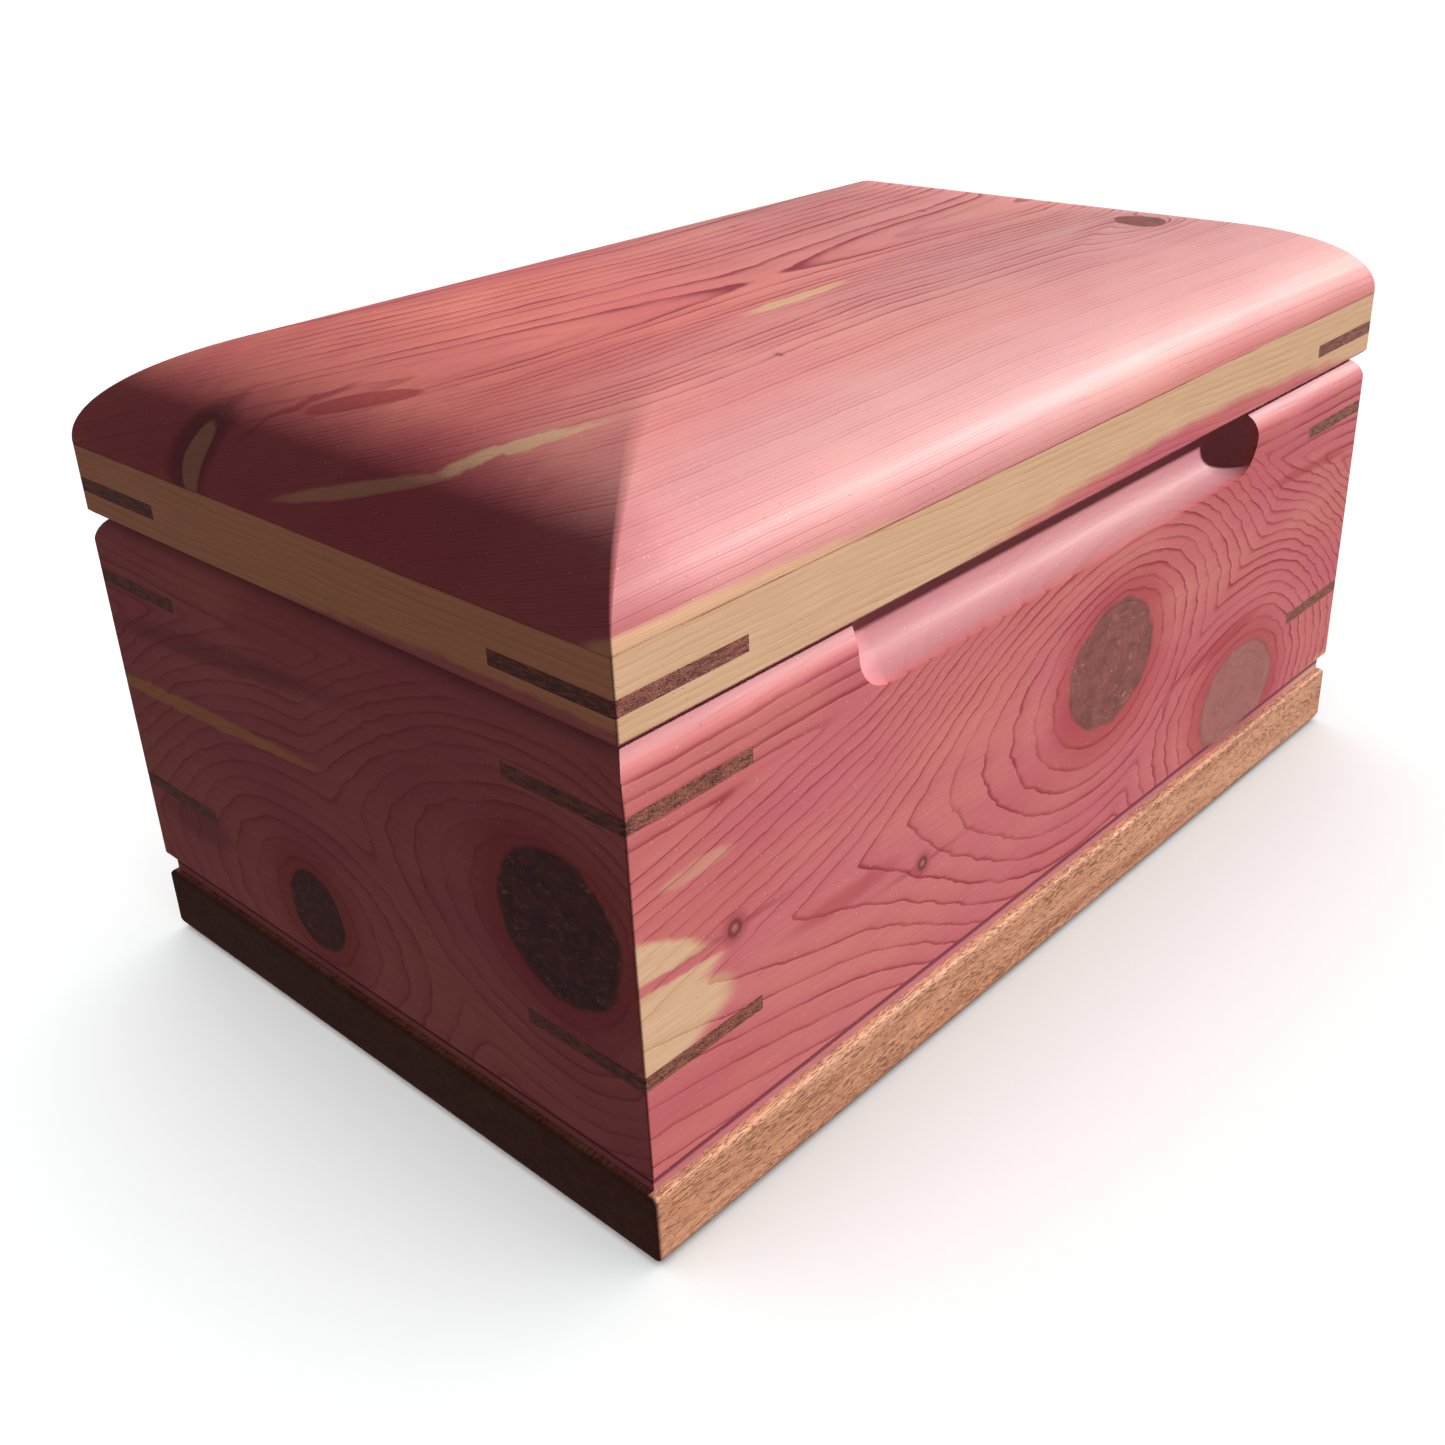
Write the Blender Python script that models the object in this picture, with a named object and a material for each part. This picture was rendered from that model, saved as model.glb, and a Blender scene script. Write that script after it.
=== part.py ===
"""A hinged keepsake box in aromatic cedar, keyed at its mitred corners with dark
splines, standing on a mahogany base.

Frame: metres, +Z up.  The origin is the middle of the underside of the base.  X runs
along the front to the right, and the front faces -Y.
"""
import math

import bmesh
import bpy
from mathutils import Matrix, Vector

# ---- driving dimensions -------------------------------------------------------------
WIDTH = 0.280  # outside of the box, left to right
DEPTH = 0.173  # outside of the box, front to back
BOARD_THICKNESS = 0.019  # cedar stock of the case and of the lid frame

BASE_THICKNESS = 0.017
BASE_TOP_ROUND = 0.0012
BASE_BOTTOM_ROUND = 0.003

CASE_HEIGHT = 0.0952  # case boards, from the base to the rim
RIM_ROUND = 0.0075  # round-over along the outside of the rim
SHADOW_LINE_HEIGHT = 0.005  # rebate along the foot of the case
SHADOW_LINE_DEPTH = 0.0018

LID_FRAME_HEIGHT = 0.0162
LID_FRAME_CHAMFER = 0.001
SLAB_THICKNESS = 0.0238
SLAB_EDGE = 0.0004  # upright edge left under the rounding of the slab
SLAB_END_ROUND = 0.063  # width of the rounding at the two ends
SLAB_SIDE_ROUND = 0.051  # width of the rounding at the front and the back

SPLINE_THICKNESS = 0.0032
SPLINE_REACH = 0.0313  # length of a spline along each outside face
LOWER_SPLINE_ABOVE_FOOT = 0.0272
UPPER_SPLINE_BELOW_RIM = 0.0143
LID_SPLINE_ABOVE_PARTING = 0.0072

GROOVE_LENGTH = 0.158  # finger groove, over its round ends
GROOVE_COVE_RADIUS = 0.0095
GROOVE_PILOT_RADIUS = 0.0048  # bearing of the cove cutter, which rolls along the face
GROOVE_BELOW_RIM = 0.0160

HINGE_LENGTH = 0.038
HINGE_FROM_END = 0.040  # from the end of the box to the near end of a hinge
HINGE_LEAF_REACH = 0.014  # from the pin to the far edge of a leaf
HINGE_LEAF_THICKNESS = 0.0015
HINGE_BARREL_DIAMETER = 0.0050
HINGE_PIN_DIAMETER = 0.0024
HINGE_PIN_ROOM = 0.0001  # around the pin, in the knuckles
HINGE_KNUCKLES = 5
HINGE_SCREWS_PER_LEAF = 3
HINGE_SCREW_EDGE = 0.006  # from the end of a leaf to its outer screws

HINGE_SCREW_LENGTH = 0.012
HINGE_SCREW_HEAD_DIAMETER = 0.005
HINGE_SCREW_SHANK_DIAMETER = 0.0024
HINGE_SCREW_HEAD_HEIGHT = 0.0012

BASE_SCREWS_PER_SIDE = 3
BASE_SCREW_SPAN = 0.200  # between the outer screws of one side
BASE_SCREW_LENGTH = 0.032
BASE_SCREW_HEAD_DIAMETER = 0.0082
BASE_SCREW_SHANK_DIAMETER = 0.0042
BASE_SCREW_HEAD_HEIGHT = 0.0028
BASE_SCREW_SINK = 0.0010  # head below the underside of the base

CLEARANCE = 0.0003  # between pieces that touch or are glued
SCREW_HEAD_SINK = 0.0001  # hinge screw head below the face of its leaf
CUT_MARGIN = 0.002  # how far a cutter runs out past the wood

SLAB_STEPS = 10
ROUND_STEPS = 6
HOLE_SIDES = 16
BARREL_SIDES = 24
CUTTER_SIDES = 32

# ---- worked-out levels and lines ----------------------------------------------------
CASE_FOOT_Z = BASE_THICKNESS + CLEARANCE
CASE_RIM_Z = CASE_FOOT_Z + CASE_HEIGHT
LID_FOOT_Z = CASE_RIM_Z + CLEARANCE
SLAB_FOOT_Z = LID_FOOT_Z + LID_FRAME_HEIGHT + CLEARANCE
HINGE_Z = (CASE_RIM_Z + LID_FOOT_Z) / 2
HINGE_Y = DEPTH / 2 - HINGE_BARREL_DIAMETER / 2
BARREL_RADIUS = HINGE_BARREL_DIAMETER / 2
BARREL_ROOM = BARREL_RADIUS + CLEARANCE
LEAF_EDGE_Y = HINGE_Y - BARREL_ROOM
LEAF_END_Y = HINGE_Y - HINGE_LEAF_REACH

# name, middle of the outside face and turn about Z of the four sides
SIDES = (
    ("front", (0, -DEPTH / 2), 0.0, WIDTH),
    ("right", (WIDTH / 2, 0), math.pi / 2, DEPTH),
    ("back", (0, DEPTH / 2), math.pi, WIDTH),
    ("left", (-WIDTH / 2, 0), -math.pi / 2, DEPTH),
)
CORNERS = (
    ("front_left", (-WIDTH / 2, -DEPTH / 2), 0.0),
    ("front_right", (WIDTH / 2, -DEPTH / 2), math.pi / 2),
    ("back_right", (WIDTH / 2, DEPTH / 2), math.pi),
    ("back_left", (-WIDTH / 2, DEPTH / 2), -math.pi / 2),
)


# ---- materials ----------------------------------------------------------------------
def material(name, colour, roughness, metallic=0.0):
    made = bpy.data.materials.new(name)
    made.use_nodes = True
    shader = made.node_tree.nodes["Principled BSDF"]
    shader.inputs["Base Color"].default_value = (*colour, 1.0)
    shader.inputs["Roughness"].default_value = roughness
    shader.inputs["Metallic"].default_value = metallic
    return made


# ---- general shapes -----------------------------------------------------------------
def add_object(name, bm, finish=None):
    """Turn a bmesh into an object with outward faces."""
    bmesh.ops.recalc_face_normals(bm, faces=bm.faces)
    mesh = bpy.data.meshes.new(name)
    bm.to_mesh(mesh)
    bm.free()
    if finish:
        mesh.materials.append(finish)
    made = bpy.data.objects.new(name, mesh)
    bpy.context.scene.collection.objects.link(made)
    return made


def loft(rings):
    """Join rings of equally many points, and close the first and the last."""
    bm = bmesh.new()
    loops = [[bm.verts.new(point) for point in ring] for ring in rings]
    count = len(rings[0])
    for lower, upper in zip(loops, loops[1:]):
        for i in range(count):
            j = (i + 1) % count
            bm.faces.new((lower[i], lower[j], upper[j], upper[i]))
    bm.faces.new(loops[0])
    bm.faces.new(loops[-1])
    return bm


def rectangle(inset_x, inset_y, z):
    """A ring with the box's outline, drawn in from its ends and from its sides."""
    x = WIDTH / 2 - inset_x
    y = DEPTH / 2 - inset_y
    return [(-x, -y, z), (x, -y, z), (x, y, z), (-x, y, z)]


def turned(stations, sides):
    """A solid of revolution about Z through (height, radius) stations."""
    turns = [2 * math.pi * i / sides for i in range(sides)]
    return loft([[(r * math.cos(a), r * math.sin(a), z) for a in turns] for z, r in stations])


def block(low, high):
    bm = bmesh.new()
    size = Vector(high) - Vector(low)
    middle = (Vector(high) + Vector(low)) / 2
    place = Matrix.Translation(middle) @ Matrix.Diagonal((*size, 1.0))
    bmesh.ops.create_cube(bm, size=1.0, matrix=place)
    return bm


def rod_along_x(x_from, x_to, y, z, radius, sides):
    bm = bmesh.new()
    place = Matrix.Translation(((x_from + x_to) / 2, y, z)) @ Matrix.Rotation(math.pi / 2, 4, "Y")
    bmesh.ops.create_cone(
        bm, cap_ends=True, segments=sides, radius1=radius, radius2=radius,
        depth=x_to - x_from, matrix=place,
    )
    return bm


def shade_round(item, angle=math.radians(35)):
    item.data.shade_smooth()
    item.data.set_sharp_from_angle(angle=angle)


def as_tool(name, bm):
    """A guide shape: it cuts or adds to other pieces and is no piece itself."""
    made = add_object(name, bm)
    made.hide_render = True
    made.display_type = "WIRE"
    return made


def boolean(target, tool, operation="DIFFERENCE"):
    change = target.modifiers.new(tool.name, "BOOLEAN")
    change.operation = operation
    change.solver = "EXACT"
    change.object = tool


def arc(centre_d, centre_z, radius, start, end, steps):
    """Points of a circular arc in a board's section: inset from the face, height."""
    angles = [start + (end - start) * i / steps for i in range(steps + 1)]
    return [(centre_d + radius * math.cos(a), centre_z + radius * math.sin(a)) for a in angles]


# ---- mitred boards ------------------------------------------------------------------
def mitred_board(section, length):
    """A board along X with 45 degree ends; its outside face lies in the plane y = 0.

    The section is a list of (inset from the outside face, height)."""
    bm = bmesh.new()
    half = length / 2
    end = bm.faces.new([bm.verts.new((-half, d, z)) for d, z in section])
    grown = bmesh.ops.extrude_face_region(bm, geom=[end])
    moved = [item for item in grown["geom"] if isinstance(item, bmesh.types.BMVert)]
    bmesh.ops.translate(bm, verts=moved, vec=(length, 0, 0))
    mitre_shift = CLEARANCE / 2 * math.sqrt(2)
    for side in (-1, 1):
        everything = bm.verts[:] + bm.edges[:] + bm.faces[:]
        point = (side * (half - mitre_shift), 0, 0)
        cut = bmesh.ops.bisect_plane(
            bm, geom=everything, plane_co=point, plane_no=(side, 1, 0), clear_outer=True,
        )
        rim = [item for item in cut["geom_cut"] if isinstance(item, bmesh.types.BMEdge)]
        bmesh.ops.contextual_create(bm, geom=rim)
    return bm


def case_section():
    top = CASE_HEIGHT
    section = [(SHADOW_LINE_DEPTH, 0), (BOARD_THICKNESS, 0), (BOARD_THICKNESS, top)]
    section += arc(RIM_ROUND, top - RIM_ROUND, RIM_ROUND, math.pi / 2, math.pi, ROUND_STEPS)
    section += [(0, SHADOW_LINE_HEIGHT), (SHADOW_LINE_DEPTH, SHADOW_LINE_HEIGHT)]
    return section


def lid_frame_section():
    top = LID_FRAME_HEIGHT
    chamfer = LID_FRAME_CHAMFER
    return [(chamfer, 0), (BOARD_THICKNESS, 0), (BOARD_THICKNESS, top), (0, top), (0, chamfer)]


def four_boards(prefix, section, foot_z, finish):
    boards = {}
    for side, (x, y), turn, length in SIDES:
        board = add_object(f"{prefix}_{side}", mitred_board(section, length), finish)
        board.location = (x, y, foot_z)
        board.rotation_euler = (0, 0, turn)
        boards[side] = board
    return boards


# ---- splines ------------------------------------------------------------------------
def wedge(reach, margin, thickness):
    """A flat right-angled triangle, its square corner at the box corner.

    With a margin it runs out past both faces of the box, as a saw cut does."""
    tip = reach + margin
    outline = [(-margin, -margin), (tip, -margin), (-margin, tip)]
    return loft([[(x, y, z) for x, y in outline] for z in (-thickness / 2, thickness / 2)])


def spline_keys(prefix, levels, boards, finish):
    """One key per corner and level, let into the two boards that meet there."""
    meeting = {
        "front_left": ("front", "left"),
        "front_right": ("front", "right"),
        "back_right": ("back", "right"),
        "back_left": ("back", "left"),
    }
    slot_reach = SPLINE_REACH + CLEARANCE * math.sqrt(2)
    slot_thickness = SPLINE_THICKNESS + 2 * CLEARANCE
    keys = []
    for level, z in levels:
        for corner, (x, y), turn in CORNERS:
            name = "_".join(word for word in (prefix, level, corner) if word)
            key = add_object(name, wedge(SPLINE_REACH, 0, SPLINE_THICKNESS), finish)
            slot = as_tool(f"{name}_slot", wedge(slot_reach, CUT_MARGIN, slot_thickness))
            for item in (key, slot):
                item.location = (x, y, z)
                item.rotation_euler = (0, 0, turn)
            for side in meeting[corner]:
                boolean(boards[side], slot)
            keys.append(key)
    return keys


# ---- lid slab and base --------------------------------------------------------------
def slab_rings():
    """Outlines of the slab, stepped up its elliptical rounding to the flat top."""
    rise = SLAB_THICKNESS - SLAB_EDGE
    rings = [rectangle(0, 0, 0)]
    for i in range(SLAB_STEPS + 1):
        angle = math.pi / 2 * i / SLAB_STEPS
        drawn_in = 1 - math.cos(angle)
        z = SLAB_EDGE + rise * math.sin(angle)
        rings.append(rectangle(SLAB_END_ROUND * drawn_in, SLAB_SIDE_ROUND * drawn_in, z))
    return rings


def base_rings():
    rings = []
    for i in range(ROUND_STEPS // 2 + 1):
        angle = math.pi / 2 * i / (ROUND_STEPS // 2)
        inset = BASE_BOTTOM_ROUND * (1 - math.sin(angle))
        rings.append(rectangle(inset, inset, BASE_BOTTOM_ROUND * (1 - math.cos(angle))))
    for i in range(ROUND_STEPS // 2 + 1):
        angle = math.pi / 2 * i / (ROUND_STEPS // 2)
        inset = BASE_TOP_ROUND * (1 - math.cos(angle))
        z = BASE_THICKNESS - BASE_TOP_ROUND * (1 - math.sin(angle))
        rings.append(rectangle(inset, inset, z))
    return rings


# ---- finger groove ------------------------------------------------------------------
def groove_cutter():
    """The space swept by a cove cutter whose bearing rolls along the front board.

    The cutter stands upright in front of the board, so the cut is a quarter-round cove
    with an upright wall above it, and it runs out at both ends on the cutter's curve."""
    full_radius = GROOVE_PILOT_RADIUS + GROOVE_COVE_RADIUS
    end_run = math.sqrt(full_radius**2 - GROOVE_PILOT_RADIUS**2)
    travel = GROOVE_LENGTH / 2 - end_run
    axis_y = -DEPTH / 2 - GROOVE_PILOT_RADIUS
    cove_z = CASE_RIM_Z - GROOVE_BELOW_RIM + GROOVE_COVE_RADIUS
    profile = [(CASE_RIM_Z + CUT_MARGIN, full_radius)]
    for i in range(ROUND_STEPS + 1):
        dip = math.pi / 2 * i / ROUND_STEPS
        radius = GROOVE_PILOT_RADIUS + GROOVE_COVE_RADIUS * math.cos(dip)
        profile.append((cove_z - GROOVE_COVE_RADIUS * math.sin(dip), radius))
    bm = bmesh.new()
    for x in (-travel, travel):
        for z, radius in profile:
            for i in range(CUTTER_SIDES):
                turn = 2 * math.pi * i / CUTTER_SIDES
                bm.verts.new((x + radius * math.cos(turn), axis_y + radius * math.sin(turn), z))
    bmesh.ops.convex_hull(bm, input=bm.verts)
    return bm


# ---- screws -------------------------------------------------------------------------
def screw_stations(length, head_diameter, head_height, shank_diameter, room=0.0):
    """A countersunk screw that points down from z = 0; room makes it the hole for one."""
    head = head_diameter / 2 + room
    shank = shank_diameter / 2 + room
    point = shank_diameter / 2
    stations = [(0, head), (-head_height, shank)]
    stations += [(point - length - room, shank), (-length - room, shank / 3)]
    return stations


def screw_and_hole(name, finish, sizes, location, turn_over):
    """A screw, and a tool for the hole that it sits in; it points up if turned over."""
    screw = add_object(name, turned(screw_stations(*sizes), HOLE_SIDES), finish)
    shade_round(screw)
    stations = screw_stations(*sizes, room=CLEARANCE)
    mouth = (CUT_MARGIN, stations[0][1])
    hole = as_tool(f"{name}_hole", turned([mouth] + stations, HOLE_SIDES))
    for item in (screw, hole):
        item.location = location
        item.rotation_euler = (math.pi, 0, 0) if turn_over else (0, 0, 0)
    return screw, hole


# ---- hinges -------------------------------------------------------------------------
def hinge_leaf(name, middle_x, owned, plate_low, plate_high, finish):
    """A plate with its own knuckles round the pin; owned picks them out by number."""
    left = middle_x - HINGE_LENGTH / 2
    right = middle_x + HINGE_LENGTH / 2
    plate = block((left, LEAF_END_Y, plate_low), (right, LEAF_EDGE_Y, plate_high))
    leaf = add_object(name, plate, finish)
    pitch = HINGE_LENGTH / HINGE_KNUCKLES
    overlap = HINGE_LEAF_THICKNESS
    for number in owned:
        x_from = left + number * pitch + CLEARANCE / 2
        x_to = left + (number + 1) * pitch - CLEARANCE / 2
        tab_low = (x_from, LEAF_EDGE_Y - overlap, plate_low)
        tab = as_tool(f"{name}_tab_{number}", block(tab_low, (x_to, HINGE_Y, plate_high)))
        barrel = rod_along_x(x_from, x_to, HINGE_Y, HINGE_Z, BARREL_RADIUS, BARREL_SIDES)
        knuckle = as_tool(f"{name}_knuckle_{number}", barrel)
        boolean(leaf, tab, "UNION")
        boolean(leaf, knuckle, "UNION")
    return leaf


def screw_places(middle_x):
    span = HINGE_LENGTH - 2 * HINGE_SCREW_EDGE
    gaps = HINGE_SCREWS_PER_LEAF - 1
    return [middle_x - span / 2 + span * i / gaps for i in range(HINGE_SCREWS_PER_LEAF)]


def hinge(name, middle_x, case_back, lid_back, finish):
    """One butt hinge: two leaves let into the parting faces, a pin and the screws."""
    odd = range(1, HINGE_KNUCKLES, 2)
    even = range(0, HINGE_KNUCKLES, 2)
    case_plate = (CASE_RIM_Z - HINGE_LEAF_THICKNESS, CASE_RIM_Z)
    lid_plate = (LID_FOOT_Z, LID_FOOT_Z + HINGE_LEAF_THICKNESS)
    case_leaf = hinge_leaf(f"{name}_case_leaf", middle_x, even, *case_plate, finish)
    lid_leaf = hinge_leaf(f"{name}_lid_leaf", middle_x, odd, *lid_plate, finish)
    left = middle_x - HINGE_LENGTH / 2
    right = middle_x + HINGE_LENGTH / 2

    pin_radius = HINGE_PIN_DIAMETER / 2
    pin_bm = rod_along_x(left, right, HINGE_Y, HINGE_Z, pin_radius, HOLE_SIDES)
    pin = add_object(f"{name}_pin", pin_bm, finish)
    shade_round(pin)
    bore_from = left - CUT_MARGIN
    bore_to = right + CUT_MARGIN
    bore_radius = pin_radius + HINGE_PIN_ROOM
    bore_bm = rod_along_x(bore_from, bore_to, HINGE_Y, HINGE_Z, bore_radius, HOLE_SIDES)
    bore = as_tool(f"{name}_bore", bore_bm)
    boolean(case_leaf, bore)
    boolean(lid_leaf, bore)

    # the recess for the barrel and for each leaf, in the wood
    room_from = left - CLEARANCE
    room_to = right + CLEARANCE
    barrel_bm = rod_along_x(room_from, room_to, HINGE_Y, HINGE_Z, BARREL_ROOM, BARREL_SIDES)
    barrel_room = as_tool(f"{name}_barrel_room", barrel_bm)
    room_y = LEAF_END_Y - CLEARANCE
    case_low = (room_from, room_y, case_plate[0] - CLEARANCE)
    case_room = as_tool(f"{name}_case_room", block(case_low, (room_to, HINGE_Y, LID_FOOT_Z)))
    lid_high = (room_to, HINGE_Y, lid_plate[1] + CLEARANCE)
    lid_room = as_tool(f"{name}_lid_room", block((room_from, room_y, CASE_RIM_Z), lid_high))
    for board, leaf_room in ((case_back, case_room), (lid_back, lid_room)):
        boolean(board, leaf_room)
        boolean(board, barrel_room)

    sizes = (
        HINGE_SCREW_LENGTH,
        HINGE_SCREW_HEAD_DIAMETER,
        HINGE_SCREW_HEAD_HEIGHT,
        HINGE_SCREW_SHANK_DIAMETER,
    )
    screw_y = (LEAF_END_Y + LEAF_EDGE_Y) / 2
    case_items = [case_leaf, pin]
    lid_items = [lid_leaf]
    for number, x in enumerate(screw_places(middle_x), start=1):
        down = (x, screw_y, CASE_RIM_Z - SCREW_HEAD_SINK)
        screw, hole = screw_and_hole(f"{name}_case_screw_{number}", finish, sizes, down, False)
        boolean(case_leaf, hole)
        boolean(case_back, hole)
        case_items.append(screw)
        up = (x, screw_y, LID_FOOT_Z + SCREW_HEAD_SINK)
        screw, hole = screw_and_hole(f"{name}_lid_screw_{number}", finish, sizes, up, True)
        boolean(lid_leaf, hole)
        boolean(lid_back, hole)
        lid_items.append(screw)
    for leaf in (case_leaf, lid_leaf):
        shade_round(leaf)
    return case_items, lid_items


# ---- base screws --------------------------------------------------------------------
def base_screws(base, boards, finish):
    """Screws up through the base into the foot of the front and back boards."""
    sizes = (
        BASE_SCREW_LENGTH,
        BASE_SCREW_HEAD_DIAMETER,
        BASE_SCREW_HEAD_HEIGHT,
        BASE_SCREW_SHANK_DIAMETER,
    )
    gaps = BASE_SCREWS_PER_SIDE - 1
    screws = []
    for side, sign in (("front", -1), ("back", 1)):
        y = sign * (DEPTH / 2 - (BOARD_THICKNESS + SHADOW_LINE_DEPTH) / 2)
        for number in range(BASE_SCREWS_PER_SIDE):
            x = -BASE_SCREW_SPAN / 2 + BASE_SCREW_SPAN * number / gaps
            name = f"base_screw_{side}_{number + 1}"
            screw, hole = screw_and_hole(name, finish, sizes, (x, y, BASE_SCREW_SINK), True)
            boolean(base, hole)
            boolean(boards[side], hole)
            screws.append(screw)
    return screws


# ---- assembly -----------------------------------------------------------------------
def empty_at(name, location):
    made = bpy.data.objects.new(name, None)
    made.location = location
    bpy.context.scene.collection.objects.link(made)
    return made


def hang_on(parent, items):
    """Parent the pieces and leave them where they are."""
    offset = Matrix.Translation(-parent.location)
    for item in items:
        item.parent = parent
        item.matrix_parent_inverse = offset


def build():
    for old in list(bpy.data.objects):
        bpy.data.objects.remove(old, do_unlink=True)

    cedar = material("cedar", (0.62, 0.21, 0.21), 0.45)
    dark_wood = material("spline_wood", (0.11, 0.045, 0.03), 0.5)
    mahogany = material("mahogany", (0.40, 0.20, 0.12), 0.5)
    brass = material("brass", (0.78, 0.57, 0.22), 0.3, metallic=1.0)
    zinc = material("zinc_steel", (0.55, 0.55, 0.55), 0.35, metallic=1.0)

    base = add_object("base_board", loft(base_rings()), mahogany)
    case_boards = four_boards("case", case_section(), CASE_FOOT_Z, cedar)
    case_levels = (
        ("lower", CASE_FOOT_Z + LOWER_SPLINE_ABOVE_FOOT),
        ("upper", CASE_RIM_Z - UPPER_SPLINE_BELOW_RIM),
    )
    case_keys = spline_keys("case_spline", case_levels, case_boards, dark_wood)
    boolean(case_boards["front"], as_tool("groove_cutter", groove_cutter()))
    screws = base_screws(base, case_boards, zinc)

    slab = add_object("lid_slab", loft(slab_rings()), cedar)
    slab.location = (0, 0, SLAB_FOOT_Z)
    lid_boards = four_boards("lid_frame", lid_frame_section(), LID_FOOT_Z, cedar)
    lid_levels = (("", LID_FOOT_Z + LID_SPLINE_ABOVE_PARTING),)
    lid_keys = spline_keys("lid_spline", lid_levels, lid_boards, dark_wood)

    hinge_x = WIDTH / 2 - HINGE_FROM_END - HINGE_LENGTH / 2
    case_items = [base, *case_boards.values(), *case_keys, *screws]
    lid_items = [slab, *lid_boards.values(), *lid_keys]
    for name, x in (("hinge_left", -hinge_x), ("hinge_right", hinge_x)):
        on_case, on_lid = hinge(name, x, case_boards["back"], lid_boards["back"], brass)
        case_items += on_case
        lid_items += on_lid

    hang_on(empty_at("case", (0, 0, 0)), case_items)
    hang_on(empty_at("lid_hinge", (0, HINGE_Y, HINGE_Z)), lid_items)


build()
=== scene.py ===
import math

import bmesh
import bpy
from mathutils import Matrix, Vector


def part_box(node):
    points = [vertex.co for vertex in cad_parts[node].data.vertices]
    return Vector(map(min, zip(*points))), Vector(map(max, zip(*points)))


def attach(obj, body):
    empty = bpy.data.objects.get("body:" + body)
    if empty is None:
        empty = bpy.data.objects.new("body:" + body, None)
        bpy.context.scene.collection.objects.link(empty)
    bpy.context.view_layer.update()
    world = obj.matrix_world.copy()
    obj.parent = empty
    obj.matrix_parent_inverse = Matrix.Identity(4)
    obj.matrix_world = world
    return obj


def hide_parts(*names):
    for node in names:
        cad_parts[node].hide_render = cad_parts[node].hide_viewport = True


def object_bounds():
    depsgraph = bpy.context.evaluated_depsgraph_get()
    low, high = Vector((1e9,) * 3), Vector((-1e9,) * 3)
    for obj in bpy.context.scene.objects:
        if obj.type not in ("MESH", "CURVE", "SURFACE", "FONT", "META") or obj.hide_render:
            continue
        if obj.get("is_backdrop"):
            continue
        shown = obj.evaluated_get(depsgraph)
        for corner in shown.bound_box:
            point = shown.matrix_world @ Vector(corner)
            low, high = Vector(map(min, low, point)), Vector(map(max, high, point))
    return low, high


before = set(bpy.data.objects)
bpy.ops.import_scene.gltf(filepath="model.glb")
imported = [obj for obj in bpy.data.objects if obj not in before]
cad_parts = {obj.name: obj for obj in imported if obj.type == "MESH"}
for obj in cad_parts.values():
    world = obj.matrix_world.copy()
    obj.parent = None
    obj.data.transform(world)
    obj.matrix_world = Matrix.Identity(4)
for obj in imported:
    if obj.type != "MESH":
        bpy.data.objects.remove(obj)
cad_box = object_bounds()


# ---- Case boards ----------------------------------------------------------------------
# Four boards of aromatic red cedar, mitred at the corners and glued.  The rim is rounded
# over, the foot has a small rebate whose shadow line above the base is painted shade, and
# the front board has a finger groove, cut with a cove bit that ran along the face.
SIDE_TURNS = {"front": 0.0, "right": math.pi / 2, "back": math.pi, "left": -math.pi / 2}
HALF_WIDTH = cad_box[1].x
HALF_DEPTH = cad_box[1].y
BASE_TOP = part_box("base_board")[1].z
RIM_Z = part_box("case_front")[1].z
BOARD_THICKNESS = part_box("case_front")[1].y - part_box("case_front")[0].y
GLUE_LINE = 0.00005
CORNER_ROUND = 0.0007
CASE_FOOT_Z = BASE_TOP + GLUE_LINE
RIM_ROUND = 0.0075
REBATE_DEPTH = 0.0018
REBATE_TOP_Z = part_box("case_front")[0].z + 0.005
ARRIS = 0.0004
ABOVE_LID = 0.2


def arc(centre_d, centre_z, radius, start, end, steps):
    """Points of a rounding in a board's section, as inset from the face and height."""
    points = []
    for i in range(steps + 1):
        angle = math.radians(start + (end - start) * i / steps)
        points.append((centre_d + radius * math.cos(angle), centre_z + radius * math.sin(angle)))
    return points


def skin(name, rings):
    """A solid through rings of equally many points, closed at both ends."""
    bm = bmesh.new()
    loops = [[bm.verts.new(point) for point in ring] for ring in rings]
    count = len(rings[0])
    for lower, upper in zip(loops, loops[1:]):
        for i in range(count):
            j = (i + 1) % count
            bm.faces.new((lower[i], lower[j], upper[j], upper[i]))
    bm.faces.new(loops[0])
    bm.faces.new(loops[-1])
    bmesh.ops.recalc_face_normals(bm, faces=bm.faces)
    mesh = bpy.data.meshes.new(name)
    bm.to_mesh(mesh)
    bm.free()
    made = bpy.data.objects.new(name, mesh)
    bpy.context.scene.collection.objects.link(made)
    return made


def on_side(side, along, inset, height):
    """A point given from the middle of one side of the box, seen from outside."""
    turn = SIDE_TURNS[side]
    face = HALF_DEPTH if side in ("front", "back") else HALF_WIDTH
    out = inset - face
    x = along * math.cos(turn) - out * math.sin(turn)
    y = along * math.sin(turn) + out * math.cos(turn)
    return (x, y, height)


def mitred_board(name, side, section):
    half = HALF_WIDTH if side in ("front", "back") else HALF_DEPTH
    rings = []
    for end in (-1, 1):
        rings.append([on_side(side, end * (half - d - GLUE_LINE), d, z) for d, z in section])
    return skin(name, rings)


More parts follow.
